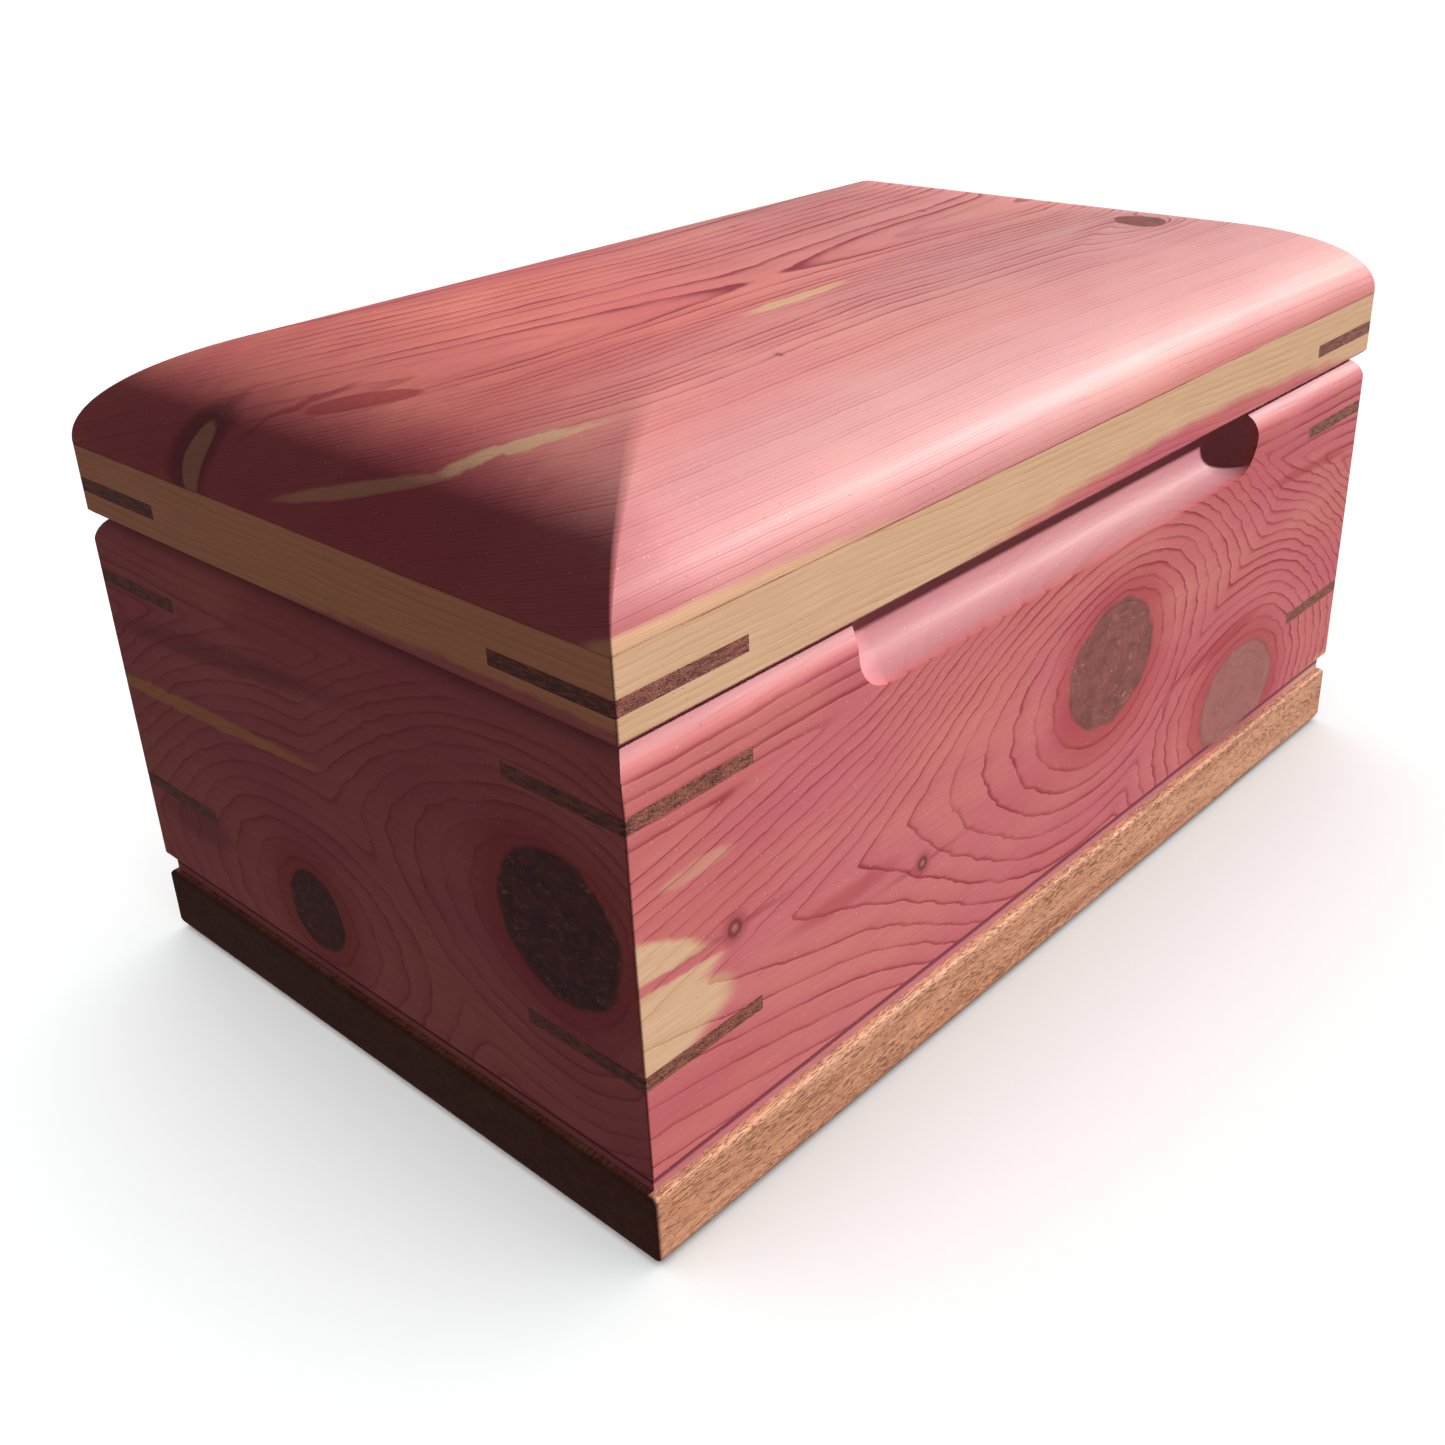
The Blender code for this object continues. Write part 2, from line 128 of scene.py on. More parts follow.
def work(piece, tools, operation="DIFFERENCE"):
    """Cut a piece with its tools, keep the finished mesh and clear the tools away."""
    for tool in tools:
        change = piece.modifiers.new(tool.name, "BOOLEAN")
        change.operation = operation
        change.solver = "EXACT"
        change.object = tool
    graph = bpy.context.evaluated_depsgraph_get()
    mesh = bpy.data.meshes.new_from_object(piece.evaluated_get(graph))
    piece.modifiers.clear()
    piece.data = mesh
    for tool in tools:
        bpy.data.objects.remove(tool, do_unlink=True)


def sand(piece, angle=32):
    """Smooth the rounded faces, and leave the flat ones flat."""
    piece.data.shade_smooth()
    piece.data.set_sharp_from_angle(angle=math.radians(angle))
    flats = piece.modifiers.new("flats", "WEIGHTED_NORMAL")
    flats.keep_sharp = True


def softened_outline(half_x, half_y, corner, z, steps=6):
    """The box's outline at one height, its four upright corners rounded."""
    points = []
    for turn in range(4):
        middle = 45 + 90 * turn
        x = math.copysign(half_x - corner, math.cos(math.radians(middle)))
        y = math.copysign(half_y - corner, math.sin(math.radians(middle)))
        points += [(px, py, z) for px, py in arc(x, y, corner, middle - 45, middle + 45, steps)]
    return points


def ease_corners(piece):
    """Take the sharp upright corners off a piece that reaches one."""
    ends = [softened_outline(HALF_WIDTH, HALF_DEPTH, CORNER_ROUND, z) for z in (0, ABOVE_LID)]
    work(piece, [skin("outline", ends)], "INTERSECT")


SPLINE_LEVELS = {"case_spline_lower": None, "case_spline_upper": None, "lid_spline": None}
for level in SPLINE_LEVELS:
    level_low, level_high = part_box(level + "_front_left")
    SPLINE_LEVELS[level] = (level_low.z, level_high.z)
SPLINE_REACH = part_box("case_spline_lower_front_left")[1].x + HALF_WIDTH
CORNERS = {
    "front_left": (-1, -1),
    "front_right": (1, -1),
    "back_right": (1, 1),
    "back_left": (-1, 1),
}


def key_shape(name, corner, low_z, high_z, reach, margin):
    """The flat triangle of a corner key; a margin takes it out past the faces."""
    sign_x, sign_y = CORNERS[corner]
    x = sign_x * (HALF_WIDTH + margin)
    y = sign_y * (HALF_DEPTH + margin)
    tip_x = sign_x * (HALF_WIDTH - reach - margin)
    tip_y = sign_y * (HALF_DEPTH - reach - margin)
    outline = [(x, y), (tip_x, y), (x, tip_y)]
    return skin(name, [[(px, py, z) for px, py in outline] for z in (low_z, high_z)])


def key_slots(side, levels):
    slots = []
    for level in levels:
        low_z, high_z = SPLINE_LEVELS[level]
        for corner in CORNERS:
            if side in corner:
                slots.append(
                    key_shape(
                        "slot", corner, low_z - GLUE_LINE, high_z + GLUE_LINE,
                        SPLINE_REACH + GLUE_LINE, 0.002,
                    )
                )
    return slots


def case_section():
    inside = BOARD_THICKNESS
    points = [(REBATE_DEPTH + ARRIS, CASE_FOOT_Z), (inside, CASE_FOOT_Z)]
    points += arc(inside - ARRIS, RIM_Z - ARRIS, ARRIS, 0, 90, 3)
    points += arc(RIM_ROUND, RIM_Z - RIM_ROUND, RIM_ROUND, 90, 180, 16)
    points += arc(ARRIS, REBATE_TOP_Z + ARRIS, ARRIS, 180, 270, 3)
    points += [(REBATE_DEPTH, REBATE_TOP_Z), (REBATE_DEPTH, CASE_FOOT_Z + ARRIS)]
    return points


GROOVE_HALF_LENGTH = 0.079
COVE_RADIUS = 0.0095
COVE_BEARING = 0.0048
GROOVE_FLOOR_Z = RIM_Z - 0.016


def groove_tool():
    """The path of the cove bit: its bearing rolls along the face of the board."""
    full = COVE_BEARING + COVE_RADIUS
    travel = GROOVE_HALF_LENGTH - math.sqrt(full**2 - COVE_BEARING**2)
    stations = [(RIM_Z + 0.002, full)]
    for d, z in arc(COVE_BEARING, GROOVE_FLOOR_Z + COVE_RADIUS, COVE_RADIUS, 0, -90, 14):
        stations.append((z, d))
    axis_y = -HALF_DEPTH - COVE_BEARING
    rings = []
    for z, radius in stations:
        right = arc(travel, axis_y, radius, -90, 90, 28)
        left = arc(-travel, axis_y, radius, 90, 270, 28)
        rings.append([(x, y, z) for x, y in right + left])
    return skin("cove_bit", rings)


# The figure of a board is drawn by one quantity: the number of the growth ring at each
# point, which rises outward round every knot.  All of it is measured in millimetres.
# A figure may hold: trunk (place of the pith, its depth, taper, ring spacing), knots,
# patches (sapwood, painted sheen, smoke, red heart and deep red painted shade), pins
# (pin knots) and its finish.
class Grain:
    """A quantity that changes through the wood, with its sums written as arithmetic."""

    def __init__(self, tree, socket):
        self.tree = tree
        self.socket = socket

    def sum(self, operation, *others):
        node = self.tree.nodes.new("ShaderNodeMath")
        node.operation = operation
        for place, value in enumerate((self, *others)):
            if isinstance(value, Grain):
                self.tree.links.new(value.socket, node.inputs[place])
            else:
                node.inputs[place].default_value = value
        return Grain(self.tree, node.outputs[0])

    def __add__(self, other):
        return self.sum("ADD", other)

    def __sub__(self, other):
        return self.sum("SUBTRACT", other)

    def __mul__(self, other):
        return self.sum("MULTIPLY", other)

    def __truediv__(self, other):
        return self.sum("DIVIDE", other)

    def rise(self, low, high, out_low=0.0, out_high=1.0):
        """An even, soft-ended step from out_low to out_high as this goes low to high."""
        node = self.tree.nodes.new("ShaderNodeMapRange")
        node.interpolation_type = "SMOOTHSTEP"
        self.tree.links.new(self.socket, node.inputs["Value"])
        node.inputs["From Min"].default_value = low
        node.inputs["From Max"].default_value = high
        node.inputs["To Min"].default_value = out_low
        node.inputs["To Max"].default_value = out_high
        return Grain(self.tree, node.outputs["Result"])


def growth(tree, point, size, detail=2.0, seed=0.0):
    """Soft natural variation between 0 and 1, size being its length along each axis."""
    place = tree.nodes.new("ShaderNodeCombineXYZ")
    for axis, (value, length) in enumerate(zip(point, size)):
        tree.links.new((value * (1 / length) + seed).socket, place.inputs[axis])
    node = tree.nodes.new("ShaderNodeTexNoise")
    node.inputs["Scale"].default_value = 1.0
    node.inputs["Detail"].default_value = detail
    tree.links.new(place.outputs[0], node.inputs["Vector"])
    return Grain(tree, node.outputs["Fac"])


def tint(tree, amount, under, over):
    """One colour laid over another by an amount."""
    node = tree.nodes.new("ShaderNodeMix")
    node.data_type = "RGBA"
    tree.links.new(amount.socket, node.inputs[0])
    for place, colour in ((6, under), (7, over)):
        if isinstance(colour, tuple):
            node.inputs[place].default_value = (*colour, 1.0)
        else:
            tree.links.new(colour, node.inputs[place])
    return node.outputs[2]


def wood_point(tree, along, up, inward):
    """Coordinates in the board: along the grain, across the face and into the wood.

    Each is given as an axis, the place on it, in millimetres, that counts as zero, and
    1 or -1 for the way it counts."""
    where = tree.nodes.new("ShaderNodeTexCoord")
    split = tree.nodes.new("ShaderNodeSeparateXYZ")
    tree.links.new(where.outputs["Object"], split.inputs[0])
    values = []
    for axis, zero, sense in (along, up, inward):
        value = Grain(tree, split.outputs[axis]) * (1000.0 * sense)
        values.append(value - zero * sense)
    return values


def finish_of(tree, colour, height, depth, roughness, gloss, coat):
    """Put colour, bump and sheen of a wiped-on finish on the surface."""
    shader = tree.nodes["Principled BSDF"]
    tree.links.new(colour, shader.inputs["Base Color"])
    tree.links.new(roughness.socket, shader.inputs["Roughness"])
    shader.inputs["Specular IOR Level"].default_value = gloss
    shader.inputs["Coat Weight"].default_value = coat
    shader.inputs["Coat Roughness"].default_value = 0.4
    bump = tree.nodes.new("ShaderNodeBump")
    bump.inputs["Strength"].default_value = 1.0
    bump.inputs["Distance"].default_value = depth
    tree.links.new(height.socket, bump.inputs["Height"])
    tree.links.new(bump.outputs[0], shader.inputs["Normal"])


HEART = (0.60, 0.165, 0.205)
HEART_DEEP = (0.50, 0.085, 0.105)
HEART_WARM = (0.66, 0.225, 0.20)
LATE_WOOD = (0.29, 0.032, 0.052)
KNOT_HALO = (0.38, 0.034, 0.046)
KNOT_BROWN = (0.26, 0.095, 0.086)
KNOT_RING = (0.10, 0.033, 0.038)
KNOT_PALE = (0.56, 0.24, 0.22)
SAPWOOD = (0.75, 0.51, 0.33)
SAP_LINE = (0.52, 0.27, 0.12)
SMOKE = (0.16, 0.030, 0.060)
# pale specks painted as glints of light on resin and dust
RESIN_GLINT = (0.92, 0.66, 0.62)
CRACK_PALE = (0.55, 0.36, 0.34)
PIN_RING = (0.15, 0.045, 0.045)
PIN_EYE = (0.42, 0.19, 0.16)
BARE_WOOD = (0.42, 0.205, 0.245)
# painted shade for the corner under the case's lip
LIP_SHADE = (0.17, 0.018, 0.040)
# a pale pink-white painted sheen, laid on parts of the lid slab
PAINTED_SHEEN = (0.60, 0.42, 0.43)
# a deep red that paints shade on the lid slab's left end
PAINTED_END_SHADE = (0.42, 0.075, 0.110)
PATCH_COLOURS = {"smoke": SMOKE, "red": KNOT_HALO, "painted_sheen": PAINTED_SHEEN, "deep": PAINTED_END_SHADE}


def knot_radii(tree, u, v, d, knot):
    """Distance from the middle of a knot, counted in its own radii."""
    wobble = growth(tree, (u, v, d), (11, 9, 14), 2.0, knot["at"][0])
    near_u = (u - knot["at"][0] + d * knot.get("drift", 0.15)) * (1 / knot["size"][0])
    near_v = (v - knot["at"][1]) * (1 / knot["size"][1])
    return (near_u * near_u + near_v * near_v + 0.001).sum("SQRT") * (wobble * 0.24 + 0.88)


def round_knot(tree, u, v, d, knot):
    """Number of the growth ring beyond one knot, and how close the rings lie."""
    du = u - knot["at"][0] + d * knot.get("drift", 0.15)
    dv = v - knot["at"][1] - du * knot.get("lean", 0.0)
    near_u = du * (1 / knot["size"][0])
    near_v = dv * (1 / knot["size"][1])
    radii = (near_u * near_u + near_v * near_v + 0.001).sum("SQRT")
    length2 = du * du + dv * dv + 0.5
    beyond = length2.sum("SQRT") * ((radii + 0.02).sum("POWER", -1.0) * -1.0 + 1.0)
    share_u = du * du / length2
    left, right, upper, lower = knot["spacing"]
    # toward the left the rings stand further apart the further out they are
    widening = knot.get("widening", 0.01)
    opening = (beyond * (widening / left) + 1.0).sum("LOGARITHM", math.e) / (beyond * widening + 0.001)
    density_u = du.rise(-4, 4, 1.0, 0.0) * opening + du.rise(-4, 4, 0.0, 1 / right)
    density_v = dv.rise(-3, 3, 1 / lower, 1 / upper)
    share_v = share_u * -1.0 + 1.0
    pointed = beyond.rise(8.0, 80.0, 1.0, 0.6)
    density = density_u * share_u.sum("POWER", pointed) + density_v * share_v.sum("POWER", pointed)
    return beyond * density, density, beyond


def cedar(name, axes, figure):
    """Aromatic red cedar: pink heartwood, wine-dark late wood, cream sapwood, knots."""
    made = bpy.data.materials.new(name)
    made.use_nodes = True
    tree = made.node_tree
    u0, v0, d0 = wood_point(tree, *axes)
    seed = figure.get("seed", 0.0)
    point = (u0, v0, d0)

    # slow bends and fine raggedness of the rings
    slow = growth(tree, point, (55, 20, 25), 1.0, seed) - 0.5
    ragged = growth(tree, point, (7, 5, 7), 3.0, seed + 3) - 0.5
    ragged_u = growth(tree, point, (9, 4.5, 7), 3.0, seed + 7) - 0.5
    u = u0 + ragged_u * figure.get("ragged_along", 5.0)
    v = v0 + slow * figure.get("bend", 6.0) + ragged * figure.get("ragged", 0.9)
    v = v + d0 * figure.get("tilt", 0.3)

    # rings of the trunk, cut along by the saw
    pith, pith_depth, taper, spacing = figure["trunk"]
    off = v - pith
    off = off * off.rise(-12, 12, figure.get("crowded", 1.0), 1.0)
    swell = growth(tree, point, (150, 70, 80), 0.5, seed + 11) - 0.5
    run = u - figure.get("saddle", 0.0)
    if "saddle" in figure:
        run = (run * run + 60.0).sum("SQRT")
    rings = (off * off + pith_depth**2).sum("SQRT") + run * taper
    rings = (rings + swell * figure.get("swell", 0.0)) * (1 / spacing)
    density = rings * 0.0 + 1 / spacing
    knot_inside = None
    halo = None
    for knot in figure.get("knots", ()):
        number, closeness, beyond = round_knot(tree, u, v, d0, knot)
        radii = knot_radii(tree, u0, v0, d0, knot)
        number = number + knot.get("offset", 0.0)
        nearer = (number - rings).rise(-0.8, 0.8)
        density = closeness + (density - closeness) * nearer
        rings = rings.sum("SMOOTH_MIN", number, figure.get("merge", 1.5))
        inside = radii.rise(1.05, 0.94)
        around = beyond.rise(knot.get("halo", 13.0), 0.0) * knot.get("red", 0.75)
        knot_inside = inside if knot_inside is None else knot_inside.sum("MAXIMUM", inside)
        halo = around if halo is None else halo.sum("MAXIMUM", around)
        knot["radii"] = radii

    # each ring ends in a thin dark line, sharp outside and fading inside
    turn = rings.sum("FLOOR")
    place = rings - turn
    fresh = tree.nodes.new("ShaderNodeTexWhiteNoise")
    fresh.noise_dimensions = "1D"
    tree.links.new(turn.socket, fresh.inputs["W"])
    luck = Grain(tree, fresh.outputs["Value"])
    width = (density * figure.get("line", 1.5)).sum("MINIMUM", 0.5)
    edge = place * -1.0 + 1.0
    late = (edge / width).rise(1.0, 0.1) * (edge / width).rise(0.0, 0.18)
    fade = (edge / (width * 4.0)).rise(1.0, 0.0)
    broken = growth(tree, point, (26, 9, 20), 2.0, seed + 17)
    uneven = figure.get("uneven", 0.45)
    strength = (luck * uneven + (1 - uneven)) * broken.rise(0.25, 0.62, 0.35, 1.0)
    fading_from, gone_at = figure.get("lines_fade", (0.1, 0.8))
    strength = strength * d0.rise(fading_from, gone_at, 1.0, figure.get("deep_lines", 0.25))
    late = late * strength * figure.get("contrast", 1.0)
    fade = fade * strength * 0.45
    second = (rings * 3.0 + luck).sum("FRACT")
    faint = second.rise(0.7, 1.0) * broken.rise(0.45, 0.75) * 0.16

    # colour of the heartwood
    worked = d0.rise(0.3, 3.0)
    tones = figure.get("tones", (HEART_WARM, HEART))
    cloud = growth(tree, point, (60, 22, 30), 3.0, seed + 23)
    warm = growth(tree, point, (90, 40, 40), 1.0, seed + 29)
    fibre = growth(tree, (u0, v, d0), (16, 0.55, 0.9), 2.0, seed)
    colour = tint(tree, cloud.rise(0.30, 0.72), *tones)
    colour = tint(tree, warm.rise(0.48, 0.78) * figure.get("deep", 0.5), colour, HEART_DEEP)
    colour = tint(tree, fibre.rise(0.35, 0.75) * 0.28, colour, HEART_DEEP)
    if halo is not None:
        colour = tint(tree, halo * (cloud * 0.5 + 0.55), colour, KNOT_HALO)

    # sapwood, smoky heart and red patches, and patches of painted sheen and deep red painted shade
    sap = None
    for patch in figure.get("patches", ()):
        du = (u0 if "wander" in patch else u) - patch["at"][0]
        dv = v0 + ragged * patch.get("wander", 2.4) - patch["at"][1] - du * patch.get("slope", 0.0)
        dd = d0 - patch["at"][2]
        dv = dv - dd * patch.get("lean", 0.0)
        dd = dd - dv * patch.get("rise", 0.0)
        near = [axis * (1 / size) for axis, size in zip((du, dv, dd), patch["size"])]
        reach = near[0] * near[0] + near[1] * near[1] + near[2] * near[2]
        soft = patch.get("soft", 0.25)
        amount = reach.rise(1.0 + soft, 1.0 - soft) * patch.get("amount", 1.0)
        if patch["kind"] == "sap":
            sap = amount if sap is None else sap.sum("MAXIMUM", amount)
        elif patch["kind"] == "heart":
            sap = sap * (amount * -1.0 + 1.0)
        else:
            colour = tint(tree, amount, colour, PATCH_COLOURS[patch["kind"]])
    colour = tint(tree, fade + faint, colour, HEART_DEEP)
    colour = tint(tree, late, colour, LATE_WOOD)
    if sap is not None:
        pale = tint(tree, fibre.rise(0.3, 0.8) * 0.35, figure.get("sapwood", SAPWOOD), SAP_LINE)
        pale = tint(tree, (late * 0.55 + fade) * 0.8, pale, SAP_LINE)
        colour = tint(tree, sap, colour, pale)

    # the thin glue joint under the slab, and painted shade in the corner under the case's lip
    if "glue" in figure:
        joint = v0.rise(figure["glue"] - 0.32, figure["glue"] - 0.12) * broken.rise(0.3, 0.6)
        colour = tint(tree, joint * 0.75, colour, LATE_WOOD)
    colour = tint(tree, worked * figure.get("bare", 0.6), colour, BARE_WOOD)
    if "foot" in figure:
        painted_lip_shade = v0.rise(figure["foot"] - 3.4, figure["foot"] - 2.9) * d0.rise(1.0, 1.5)
        painted_lip_shade = painted_lip_shade * v0.rise(figure["foot"] + 0.6, figure["foot"] + 0.3)
        colour = tint(tree, painted_lip_shade * 0.85, colour, LIP_SHADE)

    # the knots themselves: ringed, cracked and dark at the rim
    if knot_inside is not None:
        crack = growth(tree, (u0, v0, d0), (11, 8, 11), 4.0, seed + 31)
        mottle = growth(tree, point, (2.2, 1.6, 2.2), 2.0, seed + 37)
        cloudy = growth(tree, point, (7.0, 5.0, 7.0), 3.0, seed + 41)
        core = figure.get("knot_colour", KNOT_BROWN)
        brown = tint(tree, cloudy.rise(0.42, 0.66) * 0.55, core, tuple(c * 0.5 for c in core))
        brown = tint(tree, mottle.rise(0.4, 0.9) * 0.5, brown, HEART_DEEP)
        for knot in figure["knots"]:
            circles = (knot["radii"] * knot.get("circles", 7.0)).sum("FRACT")
            line = circles.rise(0.62, 0.95) * circles.rise(1.0, 0.96)
            line = line * knot["radii"].rise(1.02, 0.9) * 0.16
            rim = knot["radii"].rise(0.86, 0.97) * knot["radii"].rise(1.06, 0.99)
            brown = tint(tree, line + rim * mottle.rise(0.3, 0.7) * 0.35, brown, KNOT_RING)
            if "pale" in knot:
                brown = tint(tree, knot["radii"].rise(1.1, 0.9) * knot["pale"], brown, KNOT_PALE)
        split = (crack - 0.5).sum("ABSOLUTE").rise(0.007, 0.001) * mottle.rise(0.45, 0.6)
        brown = tint(tree, split * 0.5, brown, CRACK_PALE)
        colour = tint(tree, knot_inside, colour, brown)

    # pin knots with a short crack each way
    for pin_u, pin_v, pin_r in figure.get("pins", ()):
        pu = (u0 - pin_u) * (1 / pin_r)
        pv = (v0 + ragged * 0.6 - pin_v) * (1 / pin_r)
        away = (pu * pu + pv * pv).sum("SQRT")
        stain = away.rise(2.6, 0.9) * 0.55
        tail = (pv * 1.6).sum("ABSOLUTE").rise(1.0, 0.1) * pu.sum("ABSOLUTE").rise(13.0, 1.0) * 0.5
        colour = tint(tree, stain.sum("MAXIMUM", tail), colour, LATE_WOOD)
        ring = away.rise(1.25, 0.8) * away.rise(0.3, 0.65)
        colour = tint(tree, ring * 0.8, colour, PIN_RING)
        eye = away.rise(0.5, 0.25)
        colour = tint(tree, eye * 0.7, colour, PIN_EYE)

    # resin specks and fine dust caught in the open grain; the pale specks are painted glints of light,
    # the dark ones pits
    speck = tree.nodes.new("ShaderNodeTexVoronoi")
    speck.inputs["Scale"].default_value = 1.0
    lie = tree.nodes.new("ShaderNodeCombineXYZ")
    for axis, (value, length) in enumerate(zip((u0, v0, d0), (1.1, 0.75, 0.9))):
        tree.links.new((value * (1 / length)).socket, lie.inputs[axis])
    tree.links.new(lie.outputs[0], speck.inputs["Vector"])
    dot = Grain(tree, speck.outputs["Distance"]).rise(0.20, 0.10)
    pick = tree.nodes.new("ShaderNodeSeparateColor")
    tree.links.new(speck.outputs["Color"], pick.inputs[0])
    glint = dot * Grain(tree, pick.outputs[0]).rise(0.86, 0.90)
    colour = tint(tree, glint * 0.55, colour, RESIN_GLINT)
    pit = dot * Grain(tree, pick.outputs[1]).rise(0.93, 0.97)
    colour = tint(tree, pit * 0.6, colour, LATE_WOOD)

    height = fibre * 0.35 - late * 0.9 - pit * 0.8
    roughness = fibre * 0.16 + figure.get("roughness", 0.47) + worked * 0.14
    gloss = figure.get("gloss", 0.38)
    finish_of(tree, colour, height, 0.00006, roughness, gloss, figure.get("coat", 0.08))
    return made


X, Y, Z = 0, 1, 2
FACE_X = HALF_WIDTH * 1000
FACE_Y = HALF_DEPTH * 1000

front_figure = {
    "seed": 2.0,
    "trunk": (150.0, 12.0, -0.02, 3.4),
    "bend": 4.0,
    "merge": 1.2,
    "knots": (
        {"at": (14.2, 67.5), "size": (18.5, 15.5), "spacing": (6.0, 5.5, 2.35, 4.2), "lean": 0.075,
         "widening": 0.16},
        {"at": (81.7, 32.5), "size": (20.0, 14.5), "spacing": (6.0, 4.5, 3.0, 4.0), "circles": 5.0,
         "pale": 0.4},
    ),
    "patches": (
        {"kind": "sap", "at": (-147, 69.5, 0), "size": (27, 7.5, 30), "slope": -0.28, "soft": 0.2},
        {"kind": "sap", "at": (-150, 53.5, 0), "size": (33, 9.5, 30), "soft": 0.25},
        {"kind": "heart", "at": (-122, 63.6, 0), "size": (30, 1.3, 30), "slope": -0.06, "soft": 0.6},
        {"kind": "sap", "at": (-124, 82.5, 0), "size": (9, 1.6, 10), "soft": 0.6, "amount": 0.4},
        {"kind": "sap", "at": (142, 19.5, 0), "size": (24, 4, 12), "soft": 0.7, "amount": 0.8},
        {"kind": "red", "at": (-84, 55.0, 0), "size": (16, 2.2, 10), "soft": 0.9, "amount": 0.45},
        {"kind": "red", "at": (70, 52.0, 0), "size": (18, 2.0, 10), "slope": 0.12, "soft": 0.9,
         "amount": 0.6},
        {"kind": "red", "at": (112, 88.0, 0), "size": (24, 1.3, 10), "slope": -0.05, "soft": 0.9,
         "amount": 0.6},
    ),
    "pins": ((-115.3, 65.0, 1.9), (-58.5, 50.0, 1.6)),
}
left_figure = {
    "seed": 5.0,
    "contrast": 0.6,
    "knot_colour": (0.12, 0.050, 0.055),
    # the sapwood here is redder than elsewhere: painted shade, the warm tint of this shaded side
    "sapwood": (0.80, 0.36, 0.17),
    "trunk": (142.0, 14.0, 0.0, 3.1),
    "bend": 5.0,
    "knots": (
        {"at": (-66.5, 69.2), "size": (16.5, 16.5), "spacing": (4.0, 8.5, 2.7, 4.5)},
        {"at": (16.8, 35.8), "size": (10.0, 10.0), "spacing": (8.5, 8.5, 4.2, 5.0), "offset": 0.4},
    ),
    "patches": (
        {"kind": "sap", "at": (60, 72.5, 0), "size": (52, 1.9, 12), "slope": -0.05, "soft": 0.5},
        {"kind": "smoke", "at": (40, 91.0, 0), "size": (45, 3.0, 12), "slope": -0.1, "soft": 0.9,
         "amount": 0.5},
        {"kind": "smoke", "at": (65, 40.0, 0), "size": (14, 5.0, 12), "soft": 0.9, "amount": 0.4},
    ),
}
right_figure = {
    "seed": 9.0,
    "trunk": (64.0, 16.0, 0.16, 3.2),
    "bend": 10.0,
    "swell": 16.0,
    "knots": (
        {"at": (38.0, 48.0), "size": (9.5, 8.0), "spacing": (7.0, 8.0, 3.0, 3.5)},
    ),
    "patches": (
        {"kind": "sap", "at": (-80, 30, 0), "size": (60, 3.0, 14), "slope": 0.07, "soft": 0.5},
    ),
    "pins": ((-30.0, 84.0, 1.6),),
}
back_figure = {
    "seed": 13.0,
    "trunk": (58.0, 15.0, 0.12, 3.4),
    "bend": 12.0,
    "swell": 22.0,
    "knots": (
        {"at": (-72.0, 74.0), "size": (8.0, 6.5), "spacing": (9.0, 8.0, 2.8, 3.4)},
        {"at": (60.0, 38.0), "size": (13.0, 10.5), "spacing": (8.0, 11.0, 3.0, 3.6)},
    ),
    "patches": (
        {"kind": "sap", "at": (10, 101, 0), "size": (120, 3.4, 14), "slope": -0.02, "soft": 0.5},
    ),
    "pins": ((8.0, 62.0, 1.9), (118.0, 84.0, 1.5)),
}
case_axes = {
    "front": ((X, 0, 1), (Z, 0, 1), (Y, -FACE_Y, 1)),
    "left": ((Y, 0, 1), (Z, 0, 1), (X, -FACE_X, 1)),
    "right": ((Y, 0, 1), (Z, 0, 1), (X, FACE_X, -1)),
    "back": ((X, 0, 1), (Z, 0, 1), (Y, FACE_Y, -1)),
}
case_figures = {
    "front": front_figure,
    "left": left_figure,
    "right": right_figure,
    "back": back_figure,
}
HINGES = ("hinge_left", "hinge_right")


def box_tool(name, low, high):
    corners = [(low[0], low[1]), (high[0], low[1]), (high[0], high[1]), (low[0], high[1])]
    return skin(name, [[(x, y, z) for x, y in corners] for z in (low[2], high[2])])


def rod(name, x_from, x_to, y, z, radius, sides=48, arris=0.0):
    stations = [(x_from, radius - arris), (x_from + arris, radius)]
    stations += [(x_to - arris, radius), (x_to, radius - arris)]
    if not arris:
        stations = [(x_from, radius), (x_to, radius)]
    turns = [2 * math.pi * i / sides for i in range(sides)]
    rings = []
    for x, r in stations:
        rings.append([(x, y + r * math.cos(a), z + r * math.sin(a)) for a in turns])
    return skin(name, rings)


LID_FOOT_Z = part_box("lid_frame_front")[0].z
LEAF_THICKNESS = 0.0015
PILOT_RADIUS = 0.0013
CUT_ROOM = 0.0001
TIP_ROOM = 0.0002
LEAF_SCREWS = (1, 2, 3)
PIN_LOW, PIN_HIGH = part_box("hinge_left_pin")
PIN_Y = (PIN_LOW.y + PIN_HIGH.y) / 2
PIN_Z = (PIN_LOW.z + PIN_HIGH.z) / 2
PIN_RADIUS = (PIN_HIGH.z - PIN_LOW.z) / 2
BARREL_RADIUS = HALF_DEPTH - PIN_Y
BARREL_ROOM = BARREL_RADIUS + 0.0003
SCREW_PLACES = {}
for hinge in HINGES:
    for body in ("case", "lid"):
        for number in LEAF_SCREWS:
            screw = f"{hinge}_{body}_screw_{number}"
            screw_low, screw_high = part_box(screw)
            SCREW_PLACES[screw] = (screw_low + screw_high) / 2


def turned(name, x, y, stations, sides=40):
    """A turned piece or hole about an upright line, through (height, radius) stations."""
    turns = [2 * math.pi * i / sides for i in range(sides)]
    rings = [[(x + r * math.cos(a), y + r * math.sin(a), z) for a in turns] for z, r in stations]
    return skin(name, rings)


